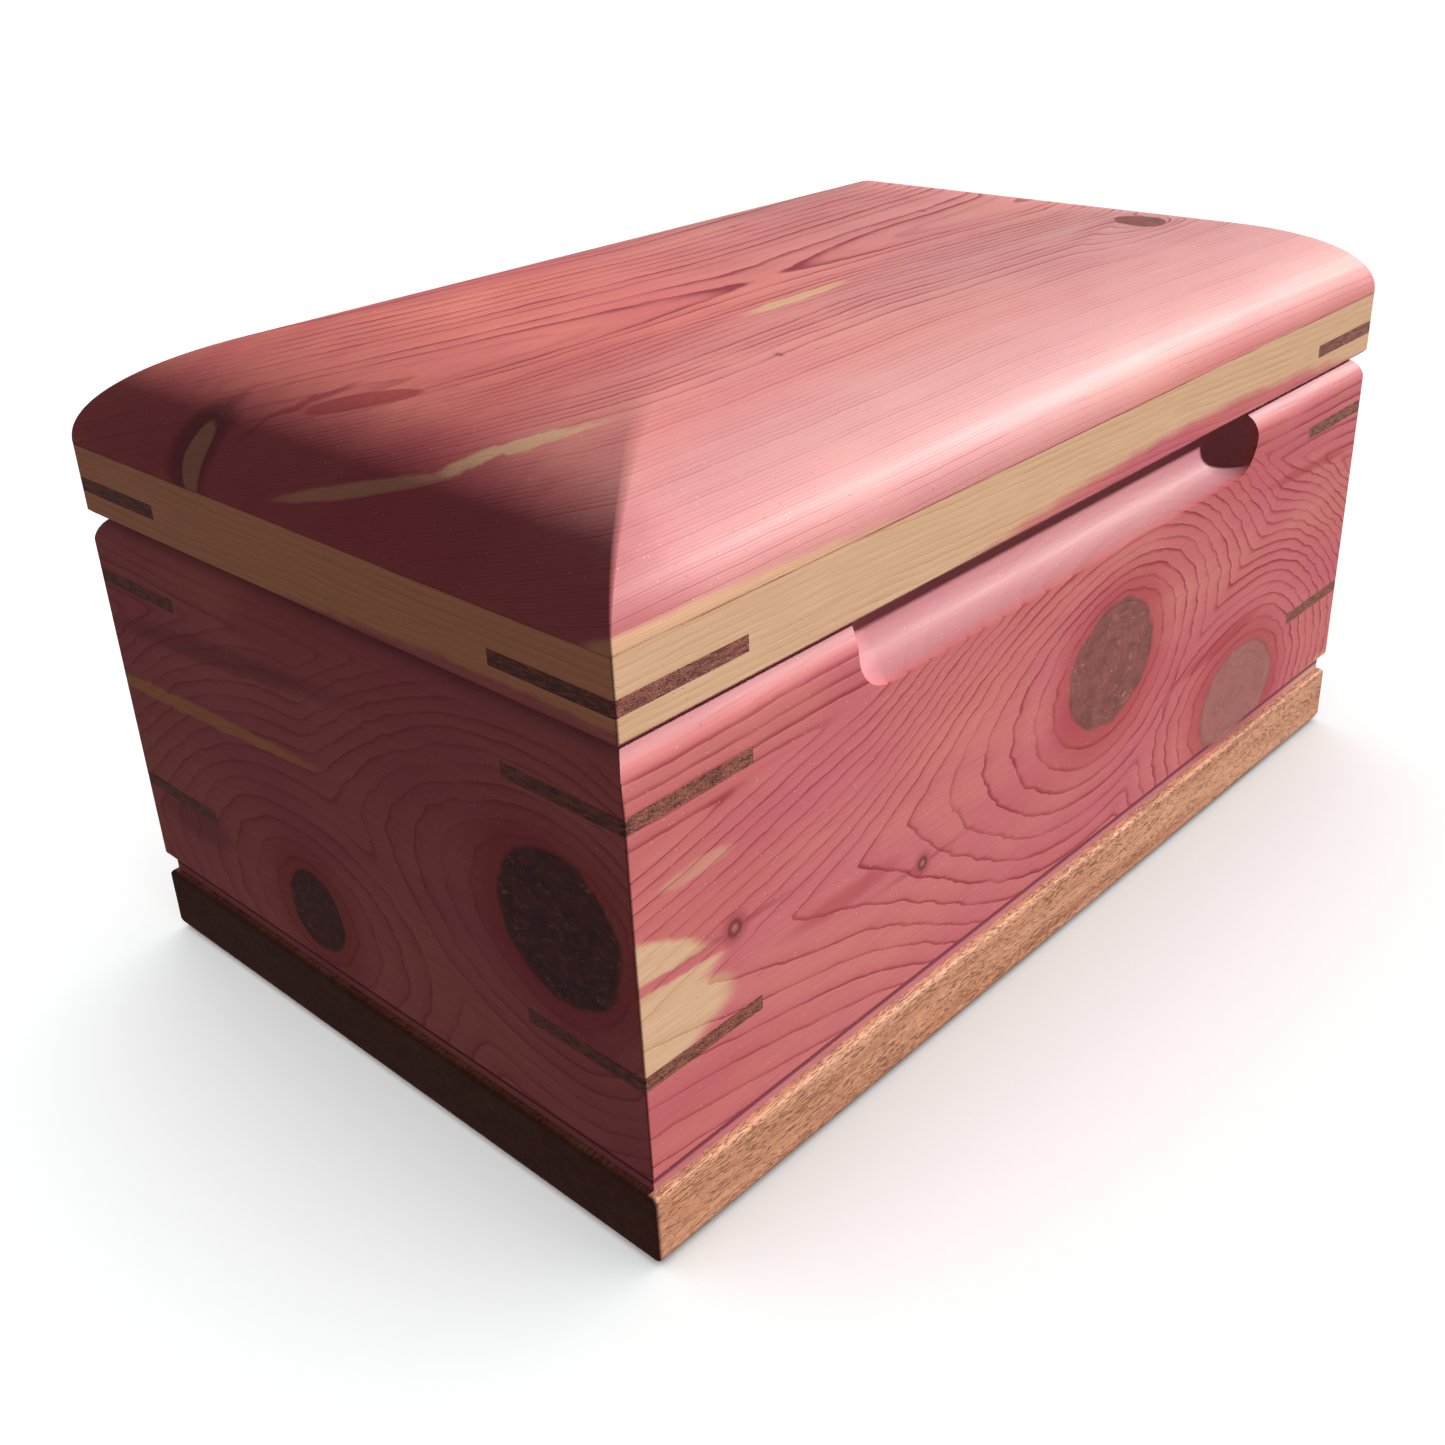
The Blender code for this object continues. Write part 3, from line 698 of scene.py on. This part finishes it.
def hinge_cuts(body):
    """Room in the back boards for the hinge leaves, their barrels and their screws."""
    tools = []
    for hinge in HINGES:
        low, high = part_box(f"{hinge}_{body}_leaf")
        if body == "case":
            cut_low = (low.x - CUT_ROOM, low.y - CUT_ROOM, RIM_Z - LEAF_THICKNESS - CUT_ROOM)
            cut_high = (high.x + CUT_ROOM, PIN_Y, RIM_Z + 0.002)
        else:
            cut_low = (low.x - CUT_ROOM, low.y - CUT_ROOM, LID_FOOT_Z - 0.002)
            cut_high = (high.x + CUT_ROOM, PIN_Y, LID_FOOT_Z + LEAF_THICKNESS + CUT_ROOM)
        tools.append(box_tool("leaf_room", cut_low, cut_high))
        tools.append(
            rod("barrel_room", low.x - CUT_ROOM, high.x + CUT_ROOM, PIN_Y, PIN_Z, BARREL_ROOM)
        )
        for number in LEAF_SCREWS:
            name = f"{hinge}_{body}_screw_{number}"
            low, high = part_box(name)
            place = SCREW_PLACES[name]
            ends = [(low.z - TIP_ROOM, PILOT_RADIUS), (high.z + TIP_ROOM, PILOT_RADIUS)]
            tools.append(turned("pilot", place.x, place.y, ends, 20))
    return tools


BASE_SCREWS = [f"base_screw_{side}_{n}" for side in ("front", "back") for n in (1, 2, 3)]
BASE_SCREW_SHANK = 0.0021


def base_screw_bores(side, from_z, to_z):
    tools = []
    for name in BASE_SCREWS:
        if side in name:
            low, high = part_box(name)
            middle = (low + high) / 2
            radius = BASE_SCREW_SHANK + CUT_ROOM
            top = min(to_z, high.z + TIP_ROOM)
            tools.append(turned("bore", middle.x, middle.y, [(from_z, radius), (top, radius)], 24))
    return tools


for side in SIDE_TURNS:
    name = f"case_{side}"
    # the height of the rebate's top, below which the figure paints shade in the corner
    case_figures[side]["foot"] = REBATE_TOP_Z * 1000
    piece = mitred_board("cedar_" + name, side, case_section())
    tools = key_slots(side, ("case_spline_lower", "case_spline_upper"))
    if side == "front":
        tools.append(groove_tool())
    if side == "back":
        tools += hinge_cuts("case")
    if side in ("front", "back"):
        tools += base_screw_bores(side, CASE_FOOT_Z - 0.001, 1.0)
    work(piece, tools)
    ease_corners(piece)
    sand(piece)
    piece.data.materials.clear()
    piece.data.materials.append(cedar("cedar " + side, case_axes[side], case_figures[side]))
    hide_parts(name)
    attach(piece, "case")


# ---- Corner keys ----------------------------------------------------------------------
# Thin triangular splines of dark hardwood glued into saw cuts across every corner, two
# levels in the case and one in the lid.  Sanded flush, with open, gold-flecked pores.
KEY_BROWN = (0.33, 0.105, 0.078)
KEY_DARK = (0.115, 0.034, 0.025)
KEY_GOLD = (0.42, 0.235, 0.125)

key_wood = bpy.data.materials.new("dark spline wood")
key_wood.use_nodes = True
tree = key_wood.node_tree
u, v, w = wood_point(tree, (X, 0, 1), (Y, 0, 1), (Z, 0, 1))
streak = growth(tree, (u, v, w), (3.0, 3.0, 0.7), 3.0, 1.0)
fleck = growth(tree, (u, v, w), (0.40, 0.40, 0.30), 2.0, 5.0)
pore = growth(tree, (u, v, w), (0.9, 0.9, 0.22), 2.0, 9.0)
colour = tint(tree, streak.rise(0.35, 0.68), KEY_BROWN, KEY_DARK)
colour = tint(tree, pore.rise(0.54, 0.66) * 0.8, colour, KEY_DARK)
colour = tint(tree, fleck.rise(0.56, 0.68) * 0.65, colour, KEY_GOLD)
height = fleck * 0.5 - pore.rise(0.54, 0.66)
finish_of(tree, colour, height, 0.00008, streak * 0.2 + 0.33, 0.5, 0.2)

for level, (low_z, high_z) in SPLINE_LEVELS.items():
    for corner in CORNERS:
        node = f"{level}_{corner}"
        piece = key_shape("key_" + node, corner, low_z, high_z, SPLINE_REACH, 0.0)
        ease_corners(piece)
        sand(piece)
        piece.data.materials.clear()
        piece.data.materials.append(key_wood)
        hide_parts(node)
        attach(piece, "lid" if level == "lid_spline" else "case")


# ---- Base -----------------------------------------------------------------------------
# One mahogany board the size of the box, eased along its top edge and rounded under,
# screwed up into the case from below.  Its open pores show as short dark dashes.
BASE_TOP_ROUND = 0.0012
BASE_FOOT_ROUND = 0.003
MAHOGANY = (0.60, 0.27, 0.155)
MAHOGANY_LIGHT = (0.76, 0.41, 0.26)
MAHOGANY_DARK = (0.27, 0.085, 0.045)
PORE_DARK = (0.17, 0.062, 0.036)
MAHOGANY_FLASH = (0.84, 0.50, 0.30)
MAHOGANY_END = (0.060, 0.020, 0.018)

edge = arc(BASE_FOOT_ROUND, BASE_FOOT_ROUND, BASE_FOOT_ROUND, 270, 180, 10)
edge += arc(BASE_TOP_ROUND, BASE_TOP - BASE_TOP_ROUND, BASE_TOP_ROUND, 180, 90, 6)
rings = []
for inset, z in edge:
    rings.append(softened_outline(HALF_WIDTH - inset, HALF_DEPTH - inset, CORNER_ROUND, z))
base = skin("mahogany_base", rings)
holes = []
BASE_HEAD_RADIUS = 0.0041
BASE_HEAD_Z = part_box(BASE_SCREWS[0])[0].z
BASE_HEAD_HEIGHT = 0.0028
for screw in BASE_SCREWS:
    low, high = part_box(screw)
    middle = (low + high) / 2
    room = 0.00015
    profile = [
        (-0.001, BASE_HEAD_RADIUS + room),
        (BASE_HEAD_Z, BASE_HEAD_RADIUS + room),
        (BASE_HEAD_Z + BASE_HEAD_HEIGHT, BASE_SCREW_SHANK + room),
        (BASE_TOP + 0.001, BASE_SCREW_SHANK + room),
    ]
    holes.append(turned("hole", middle.x, middle.y, profile))
work(base, holes)
sand(base)

mahogany = bpy.data.materials.new("mahogany")
mahogany.use_nodes = True
tree = mahogany.node_tree
u, v, w = wood_point(tree, (X, 0, 1), (Y, 0, 1), (Z, 0, 1))
drift = growth(tree, (u, v, w), (60, 12, 9), 2.0, 2.0)
across = w + drift * 7.0
band = growth(tree, (u, v, across), (120, 14, 5), 2.0, 4.0)
dash = growth(tree, (u, v, across), (1.8, 0.24, 0.26), 1.0, 8.0)
flash = growth(tree, (u, v, across), (1.9, 0.4, 0.45), 1.0, 14.0)
cluster = growth(tree, (u, v, across), (22, 4, 3.2), 2.0, 19.0)
fine = growth(tree, (u, v, across), (9, 0.5, 0.5), 2.0, 24.0)
colour = tint(tree, band.rise(0.3, 0.7), MAHOGANY_LIGHT, MAHOGANY)
colour = tint(tree, fine.rise(0.35, 0.75) * 0.35, colour, MAHOGANY_DARK)
open_pore = (dash + cluster * 0.30).rise(0.70, 0.76)
colour = tint(tree, flash.rise(0.58, 0.70) * 0.55, colour, MAHOGANY_FLASH)
colour = tint(tree, open_pore * 0.65, colour, PORE_DARK)
end_grain = u.sum("ABSOLUTE").rise(FACE_X - 1.5, FACE_X - 0.3)
colour = tint(tree, end_grain * 0.85, colour, MAHOGANY_END)
finish_of(tree, colour, fine * 0.3 - open_pore, 0.00012, fine * 0.2 + 0.48, 0.25, 0.0)
base.data.materials.clear()
base.data.materials.append(mahogany)
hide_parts("base_board")
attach(base, "case")


# ---- Base screws ----------------------------------------------------------------------
# Six countersunk steel screws, zinc plated, driven up through the base into the foot of
# the front and back boards.  The heads sit a millimetre deep and have a cross recess.
THREAD_PITCH = 0.8  # in radii of the shank, like the next three
THREAD_ROOT = 0.78
POINT_LENGTH = 2
POINT_RADIUS = 0.12
HEAD_ARRIS = 0.0001
RECESS_TURN = 25
RECESS_SHAPE = 0.17  # width for its length
RECESS_DEPTH = 0.45  # of the head's height


def countersunk(name, x, y, head_z, point_z, sizes, cross):
    """A wood screw whose head faces away from its point, with a recess in the head."""
    head_radius, head_height, shank_radius, recess = sizes
    way = 1 if point_z > head_z else -1
    length = abs(point_z - head_z)
    stations = [(0, head_radius - HEAD_ARRIS), (HEAD_ARRIS, head_radius)]
    stations.append((head_height, shank_radius))
    pitch = shank_radius * THREAD_PITCH
    turns = int((length * 0.8 - head_height) / pitch)
    start = length - turns * pitch - shank_radius * POINT_LENGTH
    for i in range(turns):
        stations.append((start + i * pitch, shank_radius * THREAD_ROOT))
        stations.append((start + (i + 0.5) * pitch, shank_radius))
    stations.append((length - shank_radius * POINT_LENGTH, shank_radius * THREAD_ROOT))
    stations.append((length, shank_radius * POINT_RADIUS))
    screw = turned(name, x, y, [(head_z + way * z, r) for z, r in stations])
    slots = []
    for turn in (0, 90) if cross else (0,):
        angle = math.radians(turn + RECESS_TURN)
        long_side = Vector((math.cos(angle), math.sin(angle), 0)) * recess
        short = Vector((-math.sin(angle), math.cos(angle), 0)) * recess * RECESS_SHAPE
        outline = [long_side + short, short - long_side, -long_side - short, long_side - short]
        depths = (head_z - way * 0.001, head_z + way * head_height * RECESS_DEPTH)
        rings = [[(x + p.x, y + p.y, z) for p in outline] for z in depths]
        slots.append(skin("driver", rings))
    work(screw, slots)
    sand(screw, 25)
    return screw


def metal(name, light, dark, rough, brush):
    """Plated or solid metal with fine brushing and handling marks."""
    made = bpy.data.materials.new(name)
    made.use_nodes = True
    tree = made.node_tree
    u, v, w = wood_point(tree, (X, 0, 1), (Y, 0, 1), (Z, 0, 1))
    lines = growth(tree, (u, v, w), brush, 2.0, 3.0)
    stain = growth(tree, (u, v, w), (5, 5, 5), 3.0, 6.0)
    spot = growth(tree, (u, v, w), (0.8, 0.8, 0.8), 2.0, 12.0)
    colour = tint(tree, stain.rise(0.35, 0.7) * 0.7, light, dark)
    colour = tint(tree, spot.rise(0.6, 0.75) * 0.35, colour, dark)
    shader = tree.nodes["Principled BSDF"]
    shader.inputs["Metallic"].default_value = 1.0
    finish_of(tree, colour, lines, 0.00003, lines * 0.22 + stain * 0.12 + rough, 0.5, 0.0)
    return made


zinc = metal("zinc plate", (0.62, 0.63, 0.64), (0.34, 0.34, 0.35), 0.22, (0.3, 0.3, 3.0))
for name in BASE_SCREWS:
    low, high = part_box(name)
    middle = (low + high) / 2
    sizes = (BASE_HEAD_RADIUS, BASE_HEAD_HEIGHT, BASE_SCREW_SHANK, 0.0023)
    piece = countersunk("zinc_" + name, middle.x, middle.y, low.z, high.z, sizes, True)
    piece.data.materials.clear()
    piece.data.materials.append(zinc)
    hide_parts(name)
    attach(piece, "case")


# ---- Lid frame ------------------------------------------------------------------------
# Four narrow cedar boards, mitred and keyed like the case and chamfered round their
# lower edge.  They are mostly cream sapwood, with heartwood showing along the bottom.
FRAME_TOP_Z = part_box("lid_slab")[0].z - 2 * GLUE_LINE
FRAME_CHAMFER = 0.001


def lid_frame_section():
    inside = BOARD_THICKNESS
    points = [(FRAME_CHAMFER, LID_FOOT_Z)]
    points += arc(inside - ARRIS, LID_FOOT_Z + ARRIS, ARRIS, -90, 0, 3)
    points += [(inside, FRAME_TOP_Z), (0, FRAME_TOP_Z), (0, LID_FOOT_Z + FRAME_CHAMFER)]
    return points


def frame_figure(seed, taper, heart_at, heart_size, soft=0.4, slope=0.0, sapwood=SAPWOOD):
    """A narrow sapwood board with a streak of heartwood along its lower edge."""
    return {
        "seed": seed,
        "trunk": (190.0, 8.0, taper, 1.7),
        "glue": FRAME_TOP_Z * 1000,
        "bend": 3.0,
        "ragged": 0.8,
        "contrast": 0.42,
        "line": 0.45,
        "roughness": 0.34,
        "sapwood": sapwood,
        "patches": (
            {"kind": "sap", "at": (0, 120, 0), "size": (900, 60, 900)},
            {"kind": "heart", "at": (*heart_at, 0), "size": (*heart_size, 60), "soft": soft,
             "slope": slope},
        ),
    }


frame_figures = {
    "front": frame_figure(21.0, -0.035, (42, 107.5), (98, 11.0), soft=0.3, slope=0.004),
    # the left board's sapwood is redder: painted shade, the warm tint of its shaded side
    "left": frame_figure(25.0, 0.01, (-62, 110.5), (85, 5.5), sapwood=(0.95, 0.47, 0.26)),
    "right": frame_figure(29.0, 0.02, (30, 110.0), (70, 7.0)),
    "back": frame_figure(33.0, -0.03, (-40, 109.0), (110, 8.0)),
}
for side in SIDE_TURNS:
    name = f"lid_frame_{side}"
    piece = mitred_board("cedar_" + name, side, lid_frame_section())
    tools = key_slots(side, ("lid_spline",))
    if side == "back":
        tools += hinge_cuts("lid")
    work(piece, tools)
    ease_corners(piece)
    sand(piece)
    piece.data.materials.clear()
    piece.data.materials.append(cedar("cedar lid " + side, case_axes[side], frame_figures[side]))
    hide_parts(name)
    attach(piece, "lid")


# ---- Lid slab -------------------------------------------------------------------------
# One wide cedar board glued on the frame.  All four edges are planed to long elliptical
# rounds that meet in soft mitre ridges at the corners and run out into the flat top.
SLAB_LOW, SLAB_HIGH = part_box("lid_slab")
SLAB_EDGE = 0.0004
SLAB_END_ROUND = 0.063
SLAB_SIDE_ROUND = 0.051
SLAB_STEPS = 44
RIDGE_ROUND = 0.004  # how far the mitre ridge is eased at the top

rings = []
slab_rise = SLAB_HIGH.z - SLAB_LOW.z - SLAB_EDGE
for step in range(-1, SLAB_STEPS + 1):
    angle = math.radians(90 * max(step, 0) / SLAB_STEPS)
    drawn_in = 1 - math.cos(angle)
    z = SLAB_LOW.z + (0 if step < 0 else SLAB_EDGE + slab_rise * math.sin(angle))
    half_x = HALF_WIDTH - SLAB_END_ROUND * drawn_in
    half_y = HALF_DEPTH - SLAB_SIDE_ROUND * drawn_in
    corner = CORNER_ROUND + RIDGE_ROUND * drawn_in**1.5
    rings.append(softened_outline(half_x, half_y, corner, z, 8))
slab = skin("cedar_lid_slab", rings)
sand(slab, 60)
TOP = SLAB_HIGH.z * 1000
slab_figure = {
    "seed": 41.0,
    "tones": ((0.82, 0.265, 0.21), (0.74, 0.195, 0.195)),
    "gloss": 0.42,
    "deep_lines": 0.45,
    "lines_fade": (0.5, 4.5),
    "uneven": 0.85,
    "bare": 0.0,
    "trunk": (-7.0, 11.0, -0.075, 3.6),
    "saddle": -12.0,
    "crowded": 1.6,
    "sapwood": (0.79, 0.49, 0.31),
    "tilt": -3.6,
    "bend": 4.0,
    "swell": 5.0,
    "ragged": 1.2,
    "ragged_along": 10.0,
    "merge": 1.0,
    "contrast": 1.25,
    "coat": 0.13,
    "roughness": 0.44,
    "pins": ((-58.0, -50.0, 0.6), (24.0, 38.0, 0.55), (-92.0, 52.0, 0.5), (66.0, 8.0, 0.6)),
    "knots": (
        {"at": (87.5, -44.8), "size": (6.8, 6.3), "spacing": (7.0, 5.0, 3.2, 1.6), "offset": 14.0,
         "halo": 9.0, "red": 0.6, "circles": 3.0},
    ),
    "patches": (
        # painted sheen: pale patches along the front rounding, the front of the top and toward the
        # right back
        {"kind": "painted_sheen", "at": (70, -56, 6), "size": (190, 34, 28), "soft": 0.9, "amount": 0.38},
        {"kind": "painted_sheen", "at": (-70, -80, 14), "size": (110, 20, 17), "soft": 0.8, "amount": 0.4},
        {"kind": "painted_sheen", "at": (120, 10, 0), "size": (125, 120, 30), "soft": 0.9, "amount": 0.35},
        # painted shade: a deep red over the slab's left end
        {"kind": "deep", "at": (-146, -10, 20), "size": (32, 110, 22), "soft": 0.6, "amount": 0.75},
        {"kind": "red", "at": (-117, 5.5, 6), "size": (7.5, 5.0, 12), "slope": -1.25, "soft": 0.15,
         "amount": 0.7, "wander": 0.5},
        {"kind": "red", "at": (-122, 19.0, 8), "size": (9, 1.8, 12), "slope": -0.7, "soft": 0.8,
         "amount": 0.7},
        {"kind": "smoke", "at": (-137, 38, 16), "size": (14, 7.5, 14), "soft": 0.6, "amount": 0.75},
        {"kind": "sap", "at": (-25, -25.7, 0), "size": (17, 2.1, 8), "slope": 0.03, "soft": 0.4},
        {"kind": "sap", "at": (-117, -40, 6), "size": (13, 2.6, 9), "slope": -0.78, "soft": 0.5},
        {"kind": "sap", "at": (-60, 78, 0), "size": (25, 1.5, 8), "soft": 0.7, "amount": 0.6},
        {"kind": "sap", "at": (-150, -95, 25), "size": (98, 15, 5.0), "soft": 0.3},
        {"kind": "sap", "at": (-137, 36.5, 18), "size": (10, 3.4, 7.5), "lean": -0.1, "soft": 0.25,
         "amount": 0.55},
        {"kind": "sap", "at": (-133, -13, 14.4), "size": (16, 21, 1.2), "rise": 0.248, "soft": 0.5,
         "amount": 0.7},
    ),
}
slab.data.materials.append(
    cedar("cedar slab", ((X, 0, 1), (Y, 0, 1), (Z, TOP, -1)), slab_figure)
)
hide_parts("lid_slab")
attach(slab, "lid")


# ---- Hinges ---------------------------------------------------------------------------
# Two extruded brass butt hinges let into the rim and the lid frame, with five knuckles
# round a brass pin.  Each leaf is held by three countersunk, slotted brass screws.
KNUCKLES = 5
HINGE_HEAD_RADIUS = 0.0025
HINGE_HEAD_HEIGHT = 0.0012
HINGE_SHANK_RADIUS = 0.0012
KNUCKLE_GAP = 0.0002
KNUCKLE_ARRIS = 0.00015
PIN_ARRIS = 0.0003
brass = metal("brass", (0.86, 0.62, 0.26), (0.52, 0.33, 0.12), 0.18, (4.0, 0.12, 0.3))
for hinge in HINGES:
    pin_low, pin_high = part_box(f"{hinge}_pin")
    pitch = (pin_high.x - pin_low.x) / KNUCKLES
    for body, owned in (("case", (0, 2, 4)), ("lid", (1, 3))):
        name = f"{hinge}_{body}_leaf"
        low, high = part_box(name)
        flat_low = RIM_Z - LEAF_THICKNESS if body == "case" else LID_FOOT_Z
        flat_high = flat_low + LEAF_THICKNESS
        edge_y = PIN_Y - BARREL_ROOM
        leaf = box_tool("brass_" + name, (pin_low.x, low.y, flat_low), (pin_high.x, edge_y, flat_high))
        joined = []
        for number in owned:
            x_from = pin_low.x + number * pitch + KNUCKLE_GAP / 2
            x_to = pin_low.x + (number + 1) * pitch - KNUCKLE_GAP / 2
            tab = box_tool("tab", (x_from, edge_y - 0.001, flat_low), (x_to, PIN_Y, flat_high))
            knuckle = rod("knuckle", x_from, x_to, PIN_Y, PIN_Z, BARREL_RADIUS, arris=KNUCKLE_ARRIS)
            joined += [tab, knuckle]
        work(leaf, joined, "UNION")
        bore_radius = PIN_RADIUS + CUT_ROOM
        cuts = [rod("bore", pin_low.x - 0.001, pin_high.x + 0.001, PIN_Y, PIN_Z, bore_radius)]
        for number in LEAF_SCREWS:
            place = SCREW_PLACES[f"{hinge}_{body}_screw_{number}"]
            face, way = (flat_high, -1) if body == "case" else (flat_low, 1)
            profile = [
                (face - way * 0.001, HINGE_HEAD_RADIUS + CUT_ROOM),
                (face + way * CUT_ROOM, HINGE_HEAD_RADIUS + CUT_ROOM),
                (face + way * (HINGE_HEAD_HEIGHT + CUT_ROOM), HINGE_SHANK_RADIUS + CUT_ROOM),
                (face + way * 0.003, HINGE_SHANK_RADIUS + CUT_ROOM),
            ]
            cuts.append(turned("sink", place.x, place.y, profile))
        work(leaf, cuts)
        sand(leaf)
        leaf.data.materials.clear()
        leaf.data.materials.append(brass)
        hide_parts(name)
        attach(leaf, body)
        for number in LEAF_SCREWS:
            name = f"{hinge}_{body}_screw_{number}"
            low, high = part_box(name)
            place = SCREW_PLACES[name]
            head_z, point_z = (high.z, low.z) if body == "case" else (low.z, high.z)
            sizes = (HINGE_HEAD_RADIUS, HINGE_HEAD_HEIGHT, HINGE_SHANK_RADIUS, 0.0026)
            piece = countersunk("brass_" + name, place.x, place.y, head_z, point_z, sizes, False)
            piece.data.materials.clear()
            piece.data.materials.append(brass)
            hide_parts(name)
            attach(piece, body)
    pin = rod(f"brass_{hinge}_pin", pin_low.x, pin_high.x, PIN_Y, PIN_Z, PIN_RADIUS, 40, PIN_ARRIS)
    sand(pin, 25)
    pin.data.materials.append(brass)
    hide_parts(f"{hinge}_pin")
    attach(pin, "case")


# ---- Floor, lights and camera ---------------------------------------------------------
# A sheet of pale paper that lies flat and rises far off, one low key light from the right
# front, a faint light from behind, a wide soft light for the floor alone, and the
# viewpoint of someone who stands at the box's front left corner.
FLOOR_SIZE = 8.0
FLOOR_LOW = -0.0201
FLOOR_TOP = -0.0001
floor = box_tool("floor", (-FLOOR_SIZE, -FLOOR_SIZE, FLOOR_LOW), (FLOOR_SIZE, FLOOR_SIZE, FLOOR_TOP))
PAPER_LIGHT = (0.89, 0.93, 0.932)
PAPER_SHADE = (0.865, 0.90, 0.903)
paper = bpy.data.materials.new("pale paper")
paper.use_nodes = True
tree = paper.node_tree
u, v, w = wood_point(tree, (X, 0, 1), (Y, 0, 1), (Z, 0, 1))
tooth = growth(tree, (u, v, w), (3, 3, 3), 3.0, 0.0)
shade = growth(tree, (u, v, w), (700, 700, 700), 1.0, 4.0)
colour = tint(tree, shade, PAPER_LIGHT, PAPER_SHADE)
finish_of(tree, colour, tooth, 0.00002, tooth * 0.1 + 0.8, 0.2, 0.0)
floor.data.materials.append(paper)
floor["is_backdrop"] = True

# a tall curved sheet of the same paper stands behind everything, far off all round
SHEET_RADIUS = 4.0
SHEET_COVE = 1.0
SHEET_TOP = 4.5
SHEET_THICKNESS = 0.05
SHEET_FOOT = -0.02
SHEET_DROP = 0.0002  # keeps the sheet just under the floor's top
SHEET_STEPS = 64
profile = arc(SHEET_RADIUS - SHEET_COVE, SHEET_COVE, SHEET_COVE, 270, 360, 12)
profile += [(SHEET_RADIUS, SHEET_TOP), (SHEET_RADIUS + SHEET_THICKNESS, SHEET_TOP)]
profile += [(SHEET_RADIUS + SHEET_THICKNESS, SHEET_FOOT), (SHEET_RADIUS - SHEET_COVE, SHEET_FOOT)]
rings = []
for step in range(SHEET_STEPS + 1):
    angle = 2 * math.pi * step / SHEET_STEPS
    rings.append([(d * math.cos(angle), d * math.sin(angle), z - SHEET_DROP) for d, z in profile])
sheet = skin("backdrop", rings)
sheet.data.shade_smooth()
lit_paper = paper.copy()
lit_paper.name = "lit paper"
shader = lit_paper.node_tree.nodes["Principled BSDF"]
shader.inputs["Emission Color"].default_value = (1, 1, 1, 1)
shader.inputs["Emission Strength"].default_value = 1.0
sheet.data.materials.append(lit_paper)
sheet.visible_diffuse = False
sheet.visible_glossy = False
sheet.visible_shadow = False
sheet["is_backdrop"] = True


def aim(item, direction):
    item.rotation_euler = Vector(direction).to_track_quat("-Z", "Y").to_euler()


def add_light(name, kind, energy, colour):
    data = bpy.data.lights.new(name, kind)
    data.energy = energy
    data.color = colour
    made = bpy.data.objects.new(name, data)
    bpy.context.scene.collection.objects.link(made)
    return made


KEY_TOWARD = Vector((0.78, -0.455, 0.47))
key = add_light("key", "SUN", energy=5.8, colour=(1.0, 0.965, 0.93))
key.data.angle = math.radians(2.5)
aim(key, -KEY_TOWARD)
behind = add_light("soft light from behind", "SUN", energy=0.9, colour=(1.0, 0.97, 0.96))
behind.data.angle = math.radians(30)
behind.visible_glossy = False
aim(behind, (-0.75, -0.65, -0.28))
overhead = add_light("floor light", "SUN", energy=3.8, colour=(1.0, 1.0, 1.0))
overhead.data.angle = math.radians(120)
only_floor = bpy.data.collections.new("floor only")
only_floor.objects.link(floor)
overhead.light_linking.receiver_collection = only_floor
no_floor = bpy.data.collections.new("all but the floor")
no_floor.objects.link(floor)
no_floor.collection_objects[0].light_linking.link_state = "EXCLUDE"
for light in (key, behind):
    light.light_linking.receiver_collection = no_floor
floor.visible_diffuse = False
floor.visible_glossy = False

world = bpy.data.worlds.new("studio")
world.use_nodes = True
bpy.context.scene.world = world
room = world.node_tree.nodes["Background"]
room.inputs["Color"].default_value = (1.0, 0.77, 0.74, 1.0)
room.inputs["Strength"].default_value = 0.15
bpy.context.scene.view_settings.view_transform = "Standard"

EYE = Vector((-0.28838, -0.25526, 0.23866))
HEADING = math.radians(46.197)
DIP = math.radians(26.082)
ROLL = math.radians(-2.463)
ahead = Vector((
    math.sin(HEADING) * math.cos(DIP), math.cos(HEADING) * math.cos(DIP), -math.sin(DIP),
))
level = Vector((math.cos(HEADING), -math.sin(HEADING), 0.0))
over = level.cross(ahead)
right = level * math.cos(ROLL) + over * math.sin(ROLL)
above = right.cross(ahead)
lens = bpy.data.cameras.new("camera")
lens.sensor_width = 36.0
lens.lens = 40.31
lens.shift_x = -0.0080
lens.shift_y = -0.0474
lens.clip_start = 0.01
camera = bpy.data.objects.new("camera", lens)
bpy.context.scene.collection.objects.link(camera)
turn = Matrix((right, above, -ahead)).transposed().to_4x4()
camera.matrix_world = Matrix.Translation(EYE) @ turn
bpy.context.scene.camera = camera

sizes = {
    "cad_box": [list(corner) for corner in cad_box],
    "visual_box": [list(corner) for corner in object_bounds()],
}
